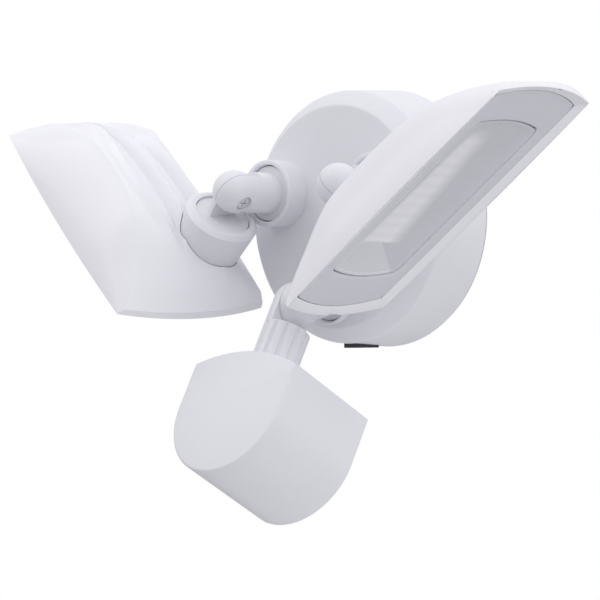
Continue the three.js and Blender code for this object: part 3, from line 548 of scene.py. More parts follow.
crest_height = curve_through([
    (-70.3, 2.6), (-65, 9), (-57, 15.4), (-49, 20.8), (-36, 27.2), (-21, 31), (0, 32.4),
    (15, 32.2), (31, 30), (41, 25.5), (52, 18), (61, 11.5), (70.3, 3.5),
])
rib_height = curve_through([
    (-70.3, 5), (-57, 14.2), (-40, 23.8), (-20, 28.6), (0, 30.2), (20, 30), (35, 27.5),
    (50, 20.5), (61, 13), (70.3, 4.5),
])
FLANK_STEPS = 22


def limited(value, low, high):
    return min(max(value, low), high)


def back_section(along):
    """One cross-section of the back as (across, height) points, front edge to wall edge."""
    bow = 1 - (along / HALF_LENGTH) ** 2
    front = -HALF_WIDTH - 2.4 * bow
    rear = HALF_WIDTH + 2.0 * bow
    crest = -20.5 - 16.5 * limited((along - 5) / 65, 0, 1) ** 2
    high, low = crest_height(along), rib_height(along)
    points = []
    for i in range(FLANK_STEPS):
        share = i / FLANK_STEPS
        angle = math.pi / 2 * share
        across = 0.45 * (1 - math.cos(angle)) + 0.55 * share
        up = 0.45 * math.sin(angle) + 0.55 * share
        points.append((front + (crest - front) * across, high * up))
    first = max(-11 + 11 * (along / 55) ** 2, crest + 5)
    second = 5 - 5 * limited((along - 10) / 40, 0, 1) ** 2
    fade = limited((along - 32) / 18, 0, 1)
    depth = min(6.6, 0.215 * high) * (1 - fade**2 * (3 - 2 * fade))

    def level(across, sink=0.0):
        return across, high + (low - high) * (across - crest) / (LAST_RIB - crest) - sink * depth

    corners = [
        (level(crest), 5), (level(crest + 0.75 * (first - crest), 0.45), 6), (level(first), 5),
        (level(first + 0.4 * (second - first), 0.62), 6),
        (level(first + 0.8 * (second - first), 1), 6), (level(second), 5),
        (level(second + 0.4 * (LAST_RIB - second), 0.62), 6),
        (level(second + 0.8 * (LAST_RIB - second), 1), 6), (level(LAST_RIB), 6),
        ((30, (low + min(REAR_EDGE, 0.8 * low)) / 2 + 0.8), 8),
        ((rear - 0.6, min(REAR_EDGE, 0.8 * low)), 3), ((rear, 0), 0),
    ]
    for (here, count), (there, _) in zip(corners, corners[1:]):
        for i in range(count):
            share = i / count
            points.append(tuple(a + (b - a) * share for a, b in zip(here, there)))
    points.append(corners[-1][0])
    return points


ACROSS = len(back_section(0.0)) - 1
ALONG = 84


def end_bow(along, across):
    reach = abs(along) / HALF_LENGTH
    return math.copysign(END_BOW * reach**3 * (1 - (across / (HALF_WIDTH + 2)) ** 2), along)


def shaped_grid(name, place):
    """A grid whose points (i along, j across) are put where `place` says."""
    deselect()
    bpy.ops.mesh.primitive_grid_add(x_subdivisions=ALONG, y_subdivisions=ACROSS, size=2)
    piece = bpy.context.object
    piece.name = name
    for vertex in piece.data.vertices:
        i = round((vertex.co.x + 1) / 2 * ALONG)
        j = round((vertex.co.y + 1) / 2 * ACROSS)
        vertex.co = Vector(place(i, j)) * MM
    return piece


SECTIONS = [back_section(-HALF_LENGTH + 2 * HALF_LENGTH * i / ALONG) for i in range(ALONG + 1)]


def on_back(i, j):
    across, height = SECTIONS[i][j]
    along = -HALF_LENGTH + 2 * HALF_LENGTH * i / ALONG
    return along + end_bow(along, across), across, height


def on_lining(i, j):
    along, across, height = on_back(i, j)
    return along * 0.8, across * 0.82, max(0.88 * height - 2.6, 5.2)


def on_outline(i, j, size, height):
    """The point of a straight-sided, bow-ended outline that faces a point of the grid's edge."""
    half_length, half_width, bow = size
    across, _ = SECTIONS[i][j]
    rear = max(point[0] for point in SECTIONS[i])
    front = -min(point[0] for point in SECTIONS[i])
    across *= half_width / (rear if across > 0 else front)
    share = -1 + 2 * i / ALONG
    along = half_length * share
    if i in (0, ALONG):
        along = math.copysign(half_length + bow * (1 - (across / half_width) ** 2), share)
    return along, across, height


def lamp_housing(name):
    piece = shaped_grid(name, on_back)
    bpy.ops.object.mode_set(mode="EDIT")
    bpy.ops.mesh.select_all(action="SELECT")
    bpy.ops.mesh.vertices_smooth(factor=0.25, repeat=1)
    bpy.ops.object.mode_set(mode="OBJECT")
    edge = {}
    for vertex in piece.data.vertices:
        i, j = vertex.index % (ALONG + 1), vertex.index // (ALONG + 1)
        vertex.select = i in (0, ALONG) or j in (0, ACROSS)
        if vertex.select:
            vertex.co = Vector(on_back(i, j)) * MM
            edge[tuple(vertex.co)] = (i, j)
    bpy.ops.object.mode_set(mode="EDIT")
    bpy.ops.mesh.select_all(action="DESELECT")
    bpy.ops.mesh.select_non_manifold()
    rim = (HALF_LENGTH - 0.7, HALF_WIDTH - 0.7, END_BOW)
    seat = (PLATE[0] + 0.3, PLATE[1] + 0.3, PLATE[2])
    ledge = (PLATE[0] - 4, PLATE[1] - 3, PLATE[2])
    steps = [
        lambda i, j: (*on_back(i, j)[:2], 0.0),
        lambda i, j: on_outline(i, j, rim, 0.0),
        lambda i, j: on_outline(i, j, seat, PLATE_FRONT),
        lambda i, j: on_outline(i, j, seat, PLATE_BACK + 0.3),
        lambda i, j: on_outline(i, j, ledge, PLATE_BACK + 0.3),
    ]
    for step in steps:
        bpy.ops.mesh.extrude_region_move()
        bpy.ops.object.mode_set(mode="OBJECT")
        moved = {}
        for vertex in piece.data.vertices:
            if vertex.select:
                key = edge[tuple(vertex.co)]
                vertex.co = Vector(step(*key)) * MM
                moved[tuple(vertex.co)] = key
        edge = moved
        bpy.ops.object.mode_set(mode="EDIT")
    bpy.ops.object.mode_set(mode="OBJECT")
    piece = joined([piece, shaped_grid("lining", on_lining)])
    bpy.ops.object.mode_set(mode="EDIT")
    bpy.ops.mesh.select_all(action="SELECT")
    bpy.ops.mesh.remove_doubles(threshold=2e-6)
    bpy.ops.mesh.select_all(action="DESELECT")
    bpy.ops.mesh.select_non_manifold()
    bpy.ops.mesh.bridge_edge_loops()
    bpy.ops.mesh.select_all(action="SELECT")
    bpy.ops.mesh.normals_make_consistent(inside=False)
    bpy.ops.object.mode_set(mode="OBJECT")
    return piece


lamp_white = moulded("lamp_white", (0.87, 0.87, 0.90), 0.3, 0.5, 0.01, Coat_Weight=0.15)
for name in HAND:
    piece = lamp_housing(f"{name}_lamp_back")
    settle(piece, lamp_frame(name))
    clearance = turned("clearance", [[0, -41], *cup_outline(0.35), [0, -13.95]], 96)
    settle(clearance, cup_frame(name))
    carve(piece, clearance)
    soften(piece, 0)
    lamp_white.paint(piece)
    place_on(piece, f"{name}_lamp", "lamp_white", f"{name}_lamp_housing")

# ------------------------------------------------------------------ face plates
# A flat satin plate set into the housing's rim, with a bevelled opening for the window.
WINDOW = (49.1, 26.9, 3.6)


def bow_ended(size, grow, height, steps=36):
    """A ring round a straight-sided outline with bowed ends, in metres."""
    half_length, half_width, bow = size[0] + grow, size[1] + grow, size[2]
    corner = 2.2
    ring = []
    for end in (1, -1):
        for i in range(steps + 1):
            share = -1 + 2 * i / steps
            across = end * half_width * share
            along = end * (half_length + bow * (1 - share**2))
            rounding = max(0.0, abs(across) - (half_width - corner))
            along -= end * (corner - math.sqrt(max(corner**2 - rounding**2, 0)))
            ring.append((along * MM, across * MM, height * MM))
        for i in range(1, steps):
            share = 1 - 2 * i / steps
            along = end * (half_length - corner) * share
            ring.append((along * MM, end * half_width * MM, height * MM))
    return ring


plate_white = moulded("plate_white", (0.69, 0.69, 0.73), 0.5, 0.3)
for name in HAND:
    piece = pulled_out(f"{name}_plate", [
        bow_ended(PLATE, 0, PLATE_BACK), bow_ended(PLATE, 0, PLATE_FRONT + 0.25),
        bow_ended(PLATE, -0.25, PLATE_FRONT), bow_ended(WINDOW, 1.1, PLATE_FRONT),
        bow_ended(WINDOW, 0, PLATE_FRONT + 0.8), bow_ended(WINDOW, 0, PLATE_BACK),
    ], closed=True)
    soften(piece, 0.12, 2, 25)
    settle(piece, lamp_frame(name))
    plate_white.paint(piece)
    place_on(piece, f"{name}_lamp", "plate_white", f"{name}_face_plate")

# ------------------------------------------------------------------ windows
# A moulded acrylic window, polished outside and frosted inside. Its colour carries painted light:
# a grey painted shade for the trough behind it, a soft bright band of painted LED glow with
# brighter painted spots at the LEDs' pitch, and a lighter painted facet for the lit end wall of the
# trough.


def remember_place(piece):
    """Keeps each point's place in the piece's own frame as an attribute, in millimetres."""
    own = piece.data.attributes.new("own_place", "FLOAT_VECTOR", "POINT")
    for vertex in piece.data.vertices:
        own.data[vertex.index].vector = vertex.co / MM


def own_axes(finish):
    """The remembered place along and across the piece, as numbers that change over the surface."""
    read = finish.node("ShaderNodeAttribute", {"attribute_name": "own_place"})
    split = finish.node("ShaderNodeSeparateXYZ", None, {0: read.outputs["Vector"]})
    return [Signal(finish, output) for output in split.outputs[:2]]


BAND_START = -41
BAND_END = 29.5
LED_PITCH = 6.6
frosted = Finish("frosted_window_painted_light", 0.22, IOR=1.49, Coat_Weight=0.35)
haze = frosted.noise(0.02, 3)
along, across = own_axes(frosted)
# painted light: a soft bright band of LED glow painted into the window's colour
painted_led_glow = across.above(-25.2 - 0.045 * (along - 29), 4)
painted_led_glow = painted_led_glow * (1 - across.above(0.16 * (along - 29) + 1.5, 11))
painted_led_glow = painted_led_glow * along.above(BAND_START, 9) * (1 - along.above(BAND_END, 1.6))
# painted light: brighter spots along the glow band at the LEDs' pitch
painted_led_spots = 0.5 + 0.5 * Signal(frosted, frosted.node(
    "ShaderNodeMath", {"operation": "SINE"}, {0: along * (2 * math.pi / LED_PITCH)}).outputs[0])
# painted light: a lighter facet where the trough's end wall catches the light
painted_facet_light = along.above(BAND_END, 1.2) * (1 - across.above(1.6 * (along - 29) - 9, 1.5))
# painted shade: a grey for the shaded trough seen through the window, with a random haze
trough = frosted.blend(haze, (0.65, 0.65, 0.69, 1), (0.69, 0.69, 0.735, 1))
trough = frosted.blend(painted_facet_light, trough, (0.77, 0.77, 0.81, 1))
frosted.colour(frosted.blend(painted_led_glow * (0.86 + 0.14 * painted_led_spots), trough, (0.97, 0.97, 1.0, 1)))
frosted.rough(0.2 + 0.1 * haze)
for name in HAND:
    piece = pulled_out(f"{name}_window", [
        bow_ended(WINDOW, -2.6, 4.4), bow_ended(WINDOW, -1.9, 5.8), bow_ended(WINDOW, 1.6, 5.8),
        bow_ended(WINDOW, 1.6, 4.5), bow_ended(WINDOW, -0.6, 4.5), bow_ended(WINDOW, -0.6, 3.0),
        bow_ended(WINDOW, -0.9, 2.6), bow_ended(WINDOW, -1.9, 2.6), bow_ended(WINDOW, -2.3, 3.2),
    ])
    soften(piece, 0.1, 2, 25)
    remember_place(piece)
    settle(piece, lamp_frame(name))
    frosted.paint(piece)
    place_on(piece, f"{name}_lamp", "window_lens", f"{name}_lens")

# ------------------------------------------------------------------ reflectors
# A vacuum-metallised trough behind each window, widest at the window and narrowing to the slot
# where the LEDs look through. Its end and side walls are flat facets.
MOUTH = (-48, 48, -26, 26)
THROAT = (-38, 22, -19, -5)


def rectangle(sides, grow, height):
    left, right, front, rear = sides
    left, right, front, rear = left - grow, right + grow, front - grow, rear + grow
    corners = [(right, rear), (left, rear), (left, front), (right, front)]
    return [(x * MM, y * MM, height * MM) for x, y in corners]


satin_metal = Finish("satin_metallised", 0.45)
bloom = satin_metal.noise(0.004, 4)
satin_metal.colour(satin_metal.blend(bloom, (0.74, 0.74, 0.79, 1), (0.82, 0.82, 0.86, 1)))
satin_metal.rough(0.35 + 0.15 * bloom)
for name in HAND:
    piece = pulled_out(f"{name}_trough", [
        rectangle(MOUTH, 2.4, 8.7), rectangle(MOUTH, 2.4, 7.4), rectangle(MOUTH, 0, 7.4),
        rectangle(THROAT, 0, 16), rectangle(THROAT, 1, 16), rectangle(MOUTH, 1, 8.7),
    ], closed=True)
    soften(piece, 0.25, 2)
    settle(piece, lamp_frame(name))
    satin_metal.paint(piece)
    place_on(piece, f"{name}_lamp", "reflector_mirror", f"{name}_reflector")

# ------------------------------------------------------------------ LED boards
# An aluminium-backed board with a white mask and two rows of LEDs, each a small square package
# with a domed yellow-white phosphor.
mask_white = moulded("led_mask", (0.88, 0.88, 0.86), 0.4, 0.2)
phosphor = Finish("led_phosphor", 0.3)
cells = phosphor.noise(0.0008, 2)
phosphor.colour(phosphor.blend(cells, (0.93, 0.90, 0.72, 1), (0.97, 0.96, 0.88, 1)))
phosphor.rough(0.25 + 0.15 * cells)
for name in HAND:
    board = block(f"{name}_board", (-38.5, -21, 16.3), (22.5, -3.5, 17.9))
    soften(board, 0.15, 2)
    settle(board, lamp_frame(name))
    mask_white.paint(board)
    place_on(board, f"{name}_lamp", "led_board", f"{name}_led_board")
    leds = []
    for row in range(2):
        for column in range(9):
            led = turned("led", [
                [0, 0.9], [1.7, 0.9], [1.7, 0.5], [1.3, 0.15], [0.7, -0.1], [0, -0.15],
            ], 20)
            x, y = -34.5 + column * LED_PITCH, -15.4 + row * LED_PITCH
            settle(led, Matrix.Translation((x * MM, y * MM, 15.5 * MM)))
            leds.append(led)
    leds = joined(leds)
    leds.name = f"{name}_leds"
    soften(leds, 0)
    settle(leds, lamp_frame(name))
    phosphor.paint(leds)
    place_on(leds, f"{name}_lamp", "led_board")

# ------------------------------------------------------------------ pod stem
# The pod hangs from a stem whose upper half is the knuckle's other half-ball. Below it a collar
# with twelve shallow flutes is the grip for turning the pod.
POD_STEM_HEIGHT = 64.3
POD_STEM_SET = 17.6
POD_SEAT = 31.2
COLLAR_TOP = -13.5
FLUTES = 12


def fluted(radius, depth, height, steps=144):
    ring = []
    for i in range(steps):
        angle = 2 * math.pi * i / steps
        dip = max(0.0, -math.cos(FLUTES * angle)) ** 1.6
        reach = (radius - depth * dip) * MM
        ring.append((reach * math.cos(angle), reach * math.sin(angle), height * MM))
    return ring


seat_height = POD_SEAT + 0.3 - POD_STEM_HEIGHT
piece = pulled_out("pod_stem_grip", [
    fluted(0.05, 0, seat_height - 11), fluted(7.2, 0, seat_height - 11), fluted(7.2, 0, seat_height),
    fluted(POD_KNUCKLE - 0.4, 0.9, seat_height), fluted(POD_KNUCKLE, 1, seat_height + 0.4),
    fluted(POD_KNUCKLE, 1, COLLAR_TOP - 1.8), fluted(POD_KNUCKLE, 0.3, COLLAR_TOP - 0.8),
    fluted(POD_KNUCKLE, 0, COLLAR_TOP - 0.3),
    *[fluted(r, 0, h) for r, h in ball_arc(POD_KNUCKLE, 0, 89.5, 0, 18)],
])
carve(piece, block("half", (-GAP, -20, COLLAR_TOP), (20, 20, 20)))
soften(piece, 0.3, 3, 40)
settle(piece, stem_frame("pod"))
white_plastic.paint(piece)
place_on(piece, "pod_stem", "white_plastic", "pod_stem")

# ------------------------------------------------------------------ pod housing
# A D-shaped barrel with an arched top: one deep moulding, closed and lightly rounded at the end
# away from the wall and open at the camera's end. A flat round seat on its top takes the stem.
POD_HALF = 33.2
POD_TOP = 23.6
POD_BOW = 7.0
POD_LENGTH = 56.3
POD_WALL = 2.4
pod_frame = stem_frame("pod") @ Matrix.Translation((0, -POD_STEM_SET * MM, -POD_STEM_HEIGHT * MM))


def pod_ring(inset, along):
    """A ring round the pod's D outline, drawn in by an inset, at a place along its length."""
    half = POD_HALF - inset
    radius = (POD_HALF**2 + POD_BOW**2) / (2 * POD_BOW) - inset
    centre = POD_TOP + POD_BOW - radius - inset
    sweep = math.asin(half / radius)
    points = [(half * math.cos(a), half * math.sin(a)) for a in
              [-math.pi * i / 72 for i in range(73)]]
    corner = centre + radius * math.cos(sweep)
    points += [(-half, corner * i / 10) for i in range(1, 10)]
    points += [(radius * math.sin(a), centre + radius * math.cos(a)) for a in
               [-sweep + 2 * sweep * i / 30 for i in range(31)]]
    points += [(half, corner * (10 - i) / 10) for i in range(1, 10)]
    return [(x * MM, along * MM, z * MM) for x, z in points]


piece = pulled_out("pod_barrel", [
    pod_ring(POD_WALL + 0.6, POD_WALL), pod_ring(POD_WALL, POD_WALL + 0.6),
    pod_ring(POD_WALL, POD_LENGTH), pod_ring(0.3, POD_LENGTH), pod_ring(0, POD_LENGTH - 0.3),
    pod_ring(0, 1.3), pod_ring(0.18, 0.68), pod_ring(0.62, 0.2), pod_ring(1.3, 0),
])
seat = turned("seat", [
    [7.6, 22], [13, 22], [12.7, POD_SEAT - 0.4], [12.3, POD_SEAT], [7.6, POD_SEAT],
], closed=True)
settle(seat, Matrix.Translation((0, POD_STEM_SET * MM, 0)))
button_hole = turned("hole", [[0, -6], [3.3, -6], [3.3, 6], [0, 6]], 48)
settle(button_hole, Matrix.Translation((-POD_HALF * MM, 30 * MM, 0)) @ ALONG_X)
carve(piece, button_hole)
soften(piece, 0)
soften(seat, 0)
piece = joined([piece, seat])
settle(piece, pod_frame)
white_plastic.paint(piece)
place_on(piece, "pod", "white_plastic", "pod_housing")

# ------------------------------------------------------------------ canopy fixings
# A pressed steel strap with two slots and two bent tabs is screwed to the junction box. A pale
# foam ring seals the canopy on the wall, and one screw below holds the canopy to the lower tab.
zinc = Finish("zinc_plated", 0.35, 0.9)
spangle = zinc.noise(0.006, 4)
zinc.colour(zinc.blend(spangle, (0.60, 0.61, 0.63, 1), (0.72, 0.73, 0.75, 1)))
zinc.rough(0.28 + 0.2 * spangle)
zinc.bump(zinc.noise(0.0015, 2), 0.08, 0.00005)

strap = block("bracket_strap", (-11, -2.5, -56), (11, 0, 56))
for middle in (41, -41):
    slot = block("slot", (-2.4, -4, middle - 7), (2.4, 2, middle + 7))
    ends = []
    for end in (middle - 7, middle + 7):
        round_end = turned("slot_end", [[0, -2], [2.4, -2], [2.4, 4], [0, 4]], 32)
        settle(round_end, Matrix.Translation((0, 0, end * MM)) @ OUT_OF_WALL)
        ends.append(round_end)
    carve(strap, slot, *ends)
lower_tab = block("bracket_lower_tab", (-8, -16, -56.6), (8, 0, -54.2))
hole = turned("thread", [[0, -60], [1.7, -60], [1.7, -50], [0, -50]], 32)
settle(hole, Matrix.Translation((0, -9 * MM, 0)))
carve(lower_tab, hole)
upper_tab = block("bracket_upper_tab", (-8, -12, 54.2), (8, 0, 56.6))
for piece in (strap, lower_tab, upper_tab):
    soften(piece, 0.35, 3)
piece = joined([strap, lower_tab, upper_tab])
zinc.paint(piece)
place_on(piece, "canopy", "plated_steel", "wall_bracket")

foam = Finish("foam_rubber", 0.9)
pores = foam.noise(0.0007, 3)
foam.colour(foam.blend(pores, (0.50, 0.50, 0.53, 1), (0.68, 0.68, 0.71, 1)))
foam.bump(pores, 0.4, 0.0001)
piece = turned("wall_seal", [[57.9, 0], [62.2, 0], [62.2, 1.7], [57.9, 1.7]], 128, closed=True)
soften(piece, 0.3, 3)
settle(piece, OUT_OF_WALL)
foam.paint(piece)
place_on(piece, "canopy", "black_rubber", "canopy_gasket")

piece = cross_screw("canopy_screw", 3.7, 63)
settle(piece, Matrix.Translation((0, -9 * MM, 0)) @ Matrix.Rotation(math.pi, 4, "X"))
zinc.paint(piece)
place_on(piece, "canopy", "bright_screw", "canopy_lock_screw")

# ------------------------------------------------------------------ shadow strip
# A short dark block in the black rubber finish under the canopy's lower edge is painted shadow, set
# where that edge is in shade.
black_rubber = moulded("black_rubber_finish", (0.035, 0.035, 0.04), 0.75, 0.5, 0.2)
piece = block("painted_shadow_strip", (-4, -31, -63.9), (4, -14, -61))
soften(piece, 0.4, 3)
black_rubber.paint(piece)
place_on(piece, "canopy", "black_rubber")

# ------------------------------------------------------------------ LED driver
# The driver board stands on the canopy's four posts. Its transformer is wound in yellow tape, the
# capacitor wears a black sleeve, and the milky terminal block takes the house wires.
fibreglass = Finish("fibreglass_board", 0.4, Coat_Weight=0.4)
weave = fibreglass.noise(0.0009, 2)
fibreglass.colour(fibreglass.blend(weave, (0.012, 0.085, 0.04, 1), (0.03, 0.17, 0.08, 1)))
fibreglass.rough(0.35 + 0.2 * weave)
tape = Finish("winding_tape", 0.4)
wound = tape.noise(0.004, 3)
tape.colour(tape.blend(wound, (0.62, 0.42, 0.06, 1), (0.76, 0.56, 0.12, 1)))
tape.rough(0.35 + 0.2 * wound)
sleeve = moulded("black_sleeve", (0.03, 0.03, 0.035), 0.35, 0.6, 0.2)
milky = moulded("milky_nylon", (0.76, 0.76, 0.74), 0.45, 0.4)


def dress(node, finish, width, segments=2):
    """Rounds the edges of a carried-over solid with a modifier and gives it a finish."""
    solid = frame["nodes"][node]
    bevel = solid.modifiers.new("edges", "BEVEL")
    bevel.width = width * MM
    bevel.segments = segments
    bevel.limit_method = "ANGLE"
    bevel.angle_limit = math.radians(40)
    finish.paint(solid)


dress("driver_board", fibreglass, 0.15)
dress("driver_transformer", tape, 0.6)
dress("terminal_block", milky, 0.4)
piece = turned("capacitor_can", [[0, 0], [6.6, 0], [7, 0.5], [7, 14.6], [6.7, 15.6], [6, 16],
                                 [5.6, 15.7], [0, 15.7]], 64)
settle(piece, standing((15 * MM, -23.7 * MM, 6 * MM), (0, 1, 0), (1, 0, 0)))
soften(piece, 0.2, 2)
sleeve.paint(piece)
place_on(piece, "canopy", "black_plastic", "driver_capacitor")
for index, (x, z) in enumerate(((-24, 36), (24, -18)), 1):
    piece = cross_screw(f"board_screw_{index}", 2.6, 0)
    piece.data.transform(Matrix.Diagonal((0.72, 0.72, 0.62, 1)))
    settle(piece, standing((x * MM, -22.3 * MM, z * MM), (0, 1, 0), (1, 0, 0)))
    zinc.paint(piece)
    place_on(piece, "canopy", "bright_screw", f"driver_board_screw_{index}")

# ------------------------------------------------------------------ nuts and washers
# Zinc-plated hexagon nuts hold the swivel journals of the arms and stems and close the knuckle
# screws, and a black rubber washer between each pair of half-balls gives the knuckle its grip.
for name in ("left", "right", "pod"):
    dress(f"{name}_arm_lock_nut", zinc, 0.35)
    dress(f"{name}_stem_lock_nut", zinc, 0.35)
    dress(f"{name}_knuckle_nut", painted_screw, 0.25)
    dress(f"{name}_friction_washer", black_rubber, 0.2)
for name in HAND:
    dress(f"{name}_lens_gasket", black_rubber, 0.15)

# ------------------------------------------------------------------ camera front
# The open end of the pod holds a white bezel with a round-cornered black glass. Behind the glass
# sit the lens barrel and a board with two rows of infrared diodes.
BEZEL_FRONT = POD_LENGTH - 0.6
LENS_Z = 6
DOME_Z = -19


def window_ring(half_width, low, high, corner, along):
    """A round-cornered rectangle's ring, with the same count as the pod's D outline."""
    points = []
    middle = (low + high) / 2
    for x, z in [(p[0], p[2]) for p in pod_ring(0, 0)]:
        angle = math.atan2(z / MM - 0.5, x / MM)
        ray = Vector((math.cos(angle), math.sin(angle)))
        near, far = 0.0, 80.0
        for _ in range(30):
            reach = (near + far) / 2
            dx = max(abs(ray.x * reach) - (half_width - corner), 0)
            dz = max(abs(ray.y * reach) - ((high - low) / 2 - corner), 0)
            if math.hypot(dx, dz) < corner:
                near = reach
            else:
                far = reach
        points.append((ray.x * near * MM, along * MM, (middle + ray.y * near) * MM))
    return points


piece = pulled_out("pod_bezel", [
    pod_ring(POD_WALL + 0.3, BEZEL_FRONT - 3), pod_ring(POD_WALL + 0.3, BEZEL_FRONT - 0.4),
    pod_ring(POD_WALL + 0.7, BEZEL_FRONT), window_ring(24.3, -7.3, 20.3, 5.3, BEZEL_FRONT),
    window_ring(24, -7, 20, 5, BEZEL_FRONT - 0.3), window_ring(24, -7, 20, 5, BEZEL_FRONT - 1.7),
    window_ring(22, -5, 18, 4, BEZEL_FRONT - 1.7), window_ring(22, -5, 18, 4, BEZEL_FRONT - 3),
], closed=True)
ALONG_POD = standing((0, 0, 0), (0, 1, 0), (1, 0, 0))
dome_hole = turned("dome_hole", [[0, 40], [8.3, 40], [8.3, 70], [0, 70]], 96)
settle(dome_hole, Matrix.Translation((0, 0, DOME_Z * MM)) @ ALONG_POD)
sound_hole = turned("sound_hole", [[0, 40], [0.8, 40], [0.8, 70], [0, 70]], 24)
settle(sound_hole, Matrix.Translation((18 * MM, 0, -12 * MM)) @ ALONG_POD)
carve(piece, dome_hole, sound_hole)
soften(piece, 0.15, 2, 40)
settle(piece, pod_frame)
white_plastic.paint(piece)
place_on(piece, "pod", "white_plastic", "front_bezel")

dark_glass = Finish("dark_glass_finish", 0.06, IOR=1.5, Coat_Weight=0.6, Alpha=0.8)
tint = dark_glass.noise(0.03, 2)
dark_glass.colour(dark_glass.blend(tint, (0.008, 0.008, 0.011, 1), (0.016, 0.016, 0.021, 1)))
dark_glass.rough(0.05 + 0.04 * tint)
piece = pulled_out("camera_glass", [
    window_ring(23.6, -6.6, 19.6, 4.7, BEZEL_FRONT - 1.4),
    window_ring(23.6, -6.6, 19.6, 4.7, BEZEL_FRONT - 0.4),
    window_ring(23.3, -6.3, 19.3, 4.4, BEZEL_FRONT - 0.1),
])
soften(piece, 0)
settle(piece, pod_frame)
dark_glass.paint(piece)
place_on(piece, "pod", "dark_glass", "front_glass")

black_plastic = moulded("black_plastic_finish", (0.02, 0.02, 0.023), 0.4, 0.3, 0.2)
piece = turned("camera_lens_barrel", [
    [0, 39.6], [8.5, 39.6], [8.5, 44.5], [7, 44.5], [7, 53.4], [5.9, 53.4], [5.9, 50.6], [0, 50.6],
], 96)
soften(piece, 0.2, 2)
settle(piece, pod_frame @ Matrix.Translation((0, 0, LENS_Z * MM)) @ ALONG_POD)
black_plastic.paint(piece)
place_on(piece, "pod", "black_plastic", "lens_barrel")

coated = Finish("coated_lens", 0.03, IOR=1.6, Coat_Weight=1.0)
sheen = coated.noise(0.01, 2)
coated.colour(coated.blend(sheen, (0.02, 0.01, 0.05, 1), (0.03, 0.03, 0.09, 1)))
coated.rough(0.03 + 0.03 * sheen)
piece = turned("camera_lens", [
    [0, 50.9], [5.4, 50.9], [5.5, 51.1], [5.5, 51.6],
    *[[5.5 * math.cos(math.radians(a)), 51.6 + 1.6 * math.sin(math.radians(a))]
      for a in range(9, 90, 9)], [0, 53.2],
], 96)
soften(piece, 0)
settle(piece, pod_frame @ Matrix.Translation((0, 0, LENS_Z * MM)) @ ALONG_POD)
coated.paint(piece)
place_on(piece, "pod", "lens_glass", "lens_element")

dress("infrared_board", black_plastic, 0.1)
dress("main_board", fibreglass, 0.15)

# ------------------------------------------------------------------ motion dome, speaker, button
# The milky dome is a moulded polyethylene lens with rings of facets that throw heat onto the
# sensor can behind it. The speaker is a small black cone unit, and the reset button a black cap.
RIM = BEZEL_FRONT - 3.3
dome_outline = frame["nodes"]["motion_dome"]
low_point = min((pod_frame.inverted() @ v.co).y for v in dome_outline.data.vertices) / MM
high_point = max((pod_frame.inverted() @ v.co).y for v in dome_outline.data.vertices) / MM
dome_milk = moulded("milky_dome", (0.80, 0.80, 0.80), 0.35, 0.8)


def dome_arc(radius, rise, angles):
    """Points of the dome's outline over its rim, at angles in degrees."""
    turns = [math.radians(a) for a in angles]
    return [[radius * math.cos(a), RIM + 0.3 + rise * math.sin(a)] for a in turns]


shell = dome_arc(7.9, high_point - RIM - 0.3, range(0, 90, 9))
inner = dome_arc(6.6, high_point - RIM - 1.6, range(81, -1, -9))
piece = turned("dome_lens", [
    *inner[-1:], [6.6, low_point], [9.4, low_point], [9.4, RIM], [7.9, RIM], *shell,
    [0, high_point], [0, high_point - 1.3], *inner[:-1],
], 24, closed=True)
soften(piece, 0.05, 1, 8)
settle(piece, pod_frame @ Matrix.Translation((0, 0, DOME_Z * MM)) @ ALONG_POD)
dome_milk.paint(piece)
place_on(piece, "pod", "milky_plastic", "motion_dome")
dress("motion_sensor", zinc, 0.3)
dress("speaker", black_plastic, 0.4)
dress("reset_switch", black_plastic, 0.2)
dress("reset_button", black_rubber, 0.4, 3)

# ------------------------------------------------------------------ light and floor
# Soft studio light: a large bright panel to the left and above, a weak one on the right, and an
# even pale surround. The floor is far below, since the light hangs on a wall.


def panel(name, place, size, power):
    lamp = bpy.data.lights.new(name, "AREA")
    lamp.shape = "SQUARE"
    lamp.size = size
    lamp.energy = power
    holder = bpy.data.objects.new(name, lamp)
    bpy.context.scene.collection.objects.link(holder)
    holder.location = place
    holder.rotation_mode = "QUATERNION"
    holder.rotation_quaternion = (-Vector(place)).to_track_quat("-Z", "Y")


panel("key_panel", (-1.2, -1.1, 1.5), 1.6, 8.5)
panel("fill_panel", (1.7, -0.5, 0.2), 1.4, 4)

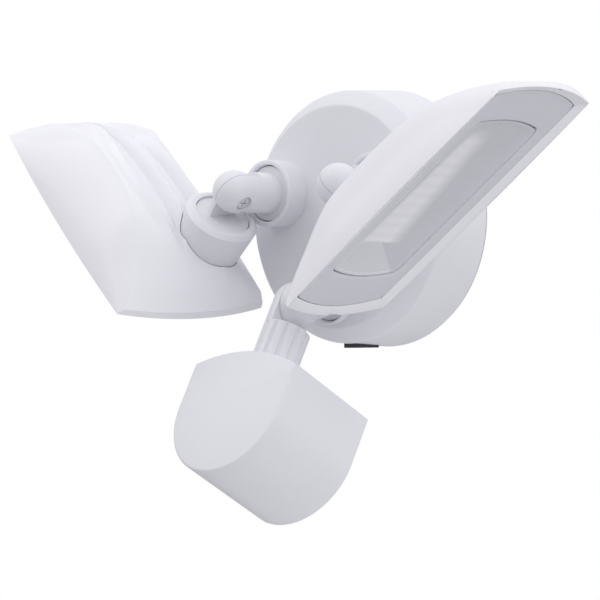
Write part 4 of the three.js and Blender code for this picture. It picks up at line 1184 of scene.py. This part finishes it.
world = bpy.data.worlds.new("studio")
bpy.context.scene.world = world
world.use_nodes = True
sky = world.node_tree.nodes["Background"]
sky.inputs["Color"].default_value = (0.965, 0.965, 1.0, 1)
ways = world.node_tree.nodes.new("ShaderNodeTexCoord")
upness = world.node_tree.nodes.new("ShaderNodeSeparateXYZ")
glow = world.node_tree.nodes.new("ShaderNodeMapRange")
world.node_tree.links.new(ways.outputs["Generated"], upness.inputs[0])
world.node_tree.links.new(upness.outputs["Z"], glow.inputs["Value"])
for socket, value in (("From Min", -0.7), ("From Max", 0.5), ("To Min", 0.16), ("To Max", 1.08)):
    glow.inputs[socket].default_value = value
leftness = world.node_tree.nodes.new("ShaderNodeVectorMath")
leftness.operation = "DOT_PRODUCT"
leftness.inputs[1].default_value = (-0.8, -0.6, 0)
side_share = world.node_tree.nodes.new("ShaderNodeMapRange")
world.node_tree.links.new(ways.outputs["Generated"], leftness.inputs[0])
world.node_tree.links.new(leftness.outputs["Value"], side_share.inputs["Value"])
for socket, value in (("From Min", -0.9), ("From Max", 0.9), ("To Min", 1.12), ("To Max", 0.74)):
    side_share.inputs[socket].default_value = value
strength = world.node_tree.nodes.new("ShaderNodeMath")
strength.operation = "MULTIPLY"
world.node_tree.links.new(glow.outputs[0], strength.inputs[0])
world.node_tree.links.new(side_share.outputs[0], strength.inputs[1])
world.node_tree.links.new(strength.outputs[0], sky.inputs["Strength"])
white = world.node_tree.nodes.new("ShaderNodeBackground")
white.inputs["Color"].default_value = (1, 1, 1, 1)
chosen = world.node_tree.nodes.new("ShaderNodeMixShader")
rays = world.node_tree.nodes.new("ShaderNodeLightPath")
world.node_tree.links.new(rays.outputs["Is Camera Ray"], chosen.inputs[0])
world.node_tree.links.new(sky.outputs[0], chosen.inputs[1])
world.node_tree.links.new(white.outputs[0], chosen.inputs[2])
world.node_tree.links.new(chosen.outputs[0], world.node_tree.nodes["World Output"].inputs[0])
bpy.context.scene.view_settings.view_transform = "Standard"

deselect()
bpy.ops.mesh.primitive_plane_add(size=3.6, location=(0, 0, -1.7))
floor = bpy.context.object
floor.name = "floor"
floor_paint = Finish("floor_paint", 0.7)
scuffs = floor_paint.noise(0.3, 2)
floor_paint.colour(floor_paint.blend(scuffs, (0.84, 0.84, 0.85, 1), (0.88, 0.88, 0.89, 1)))
floor_paint.paint(floor)
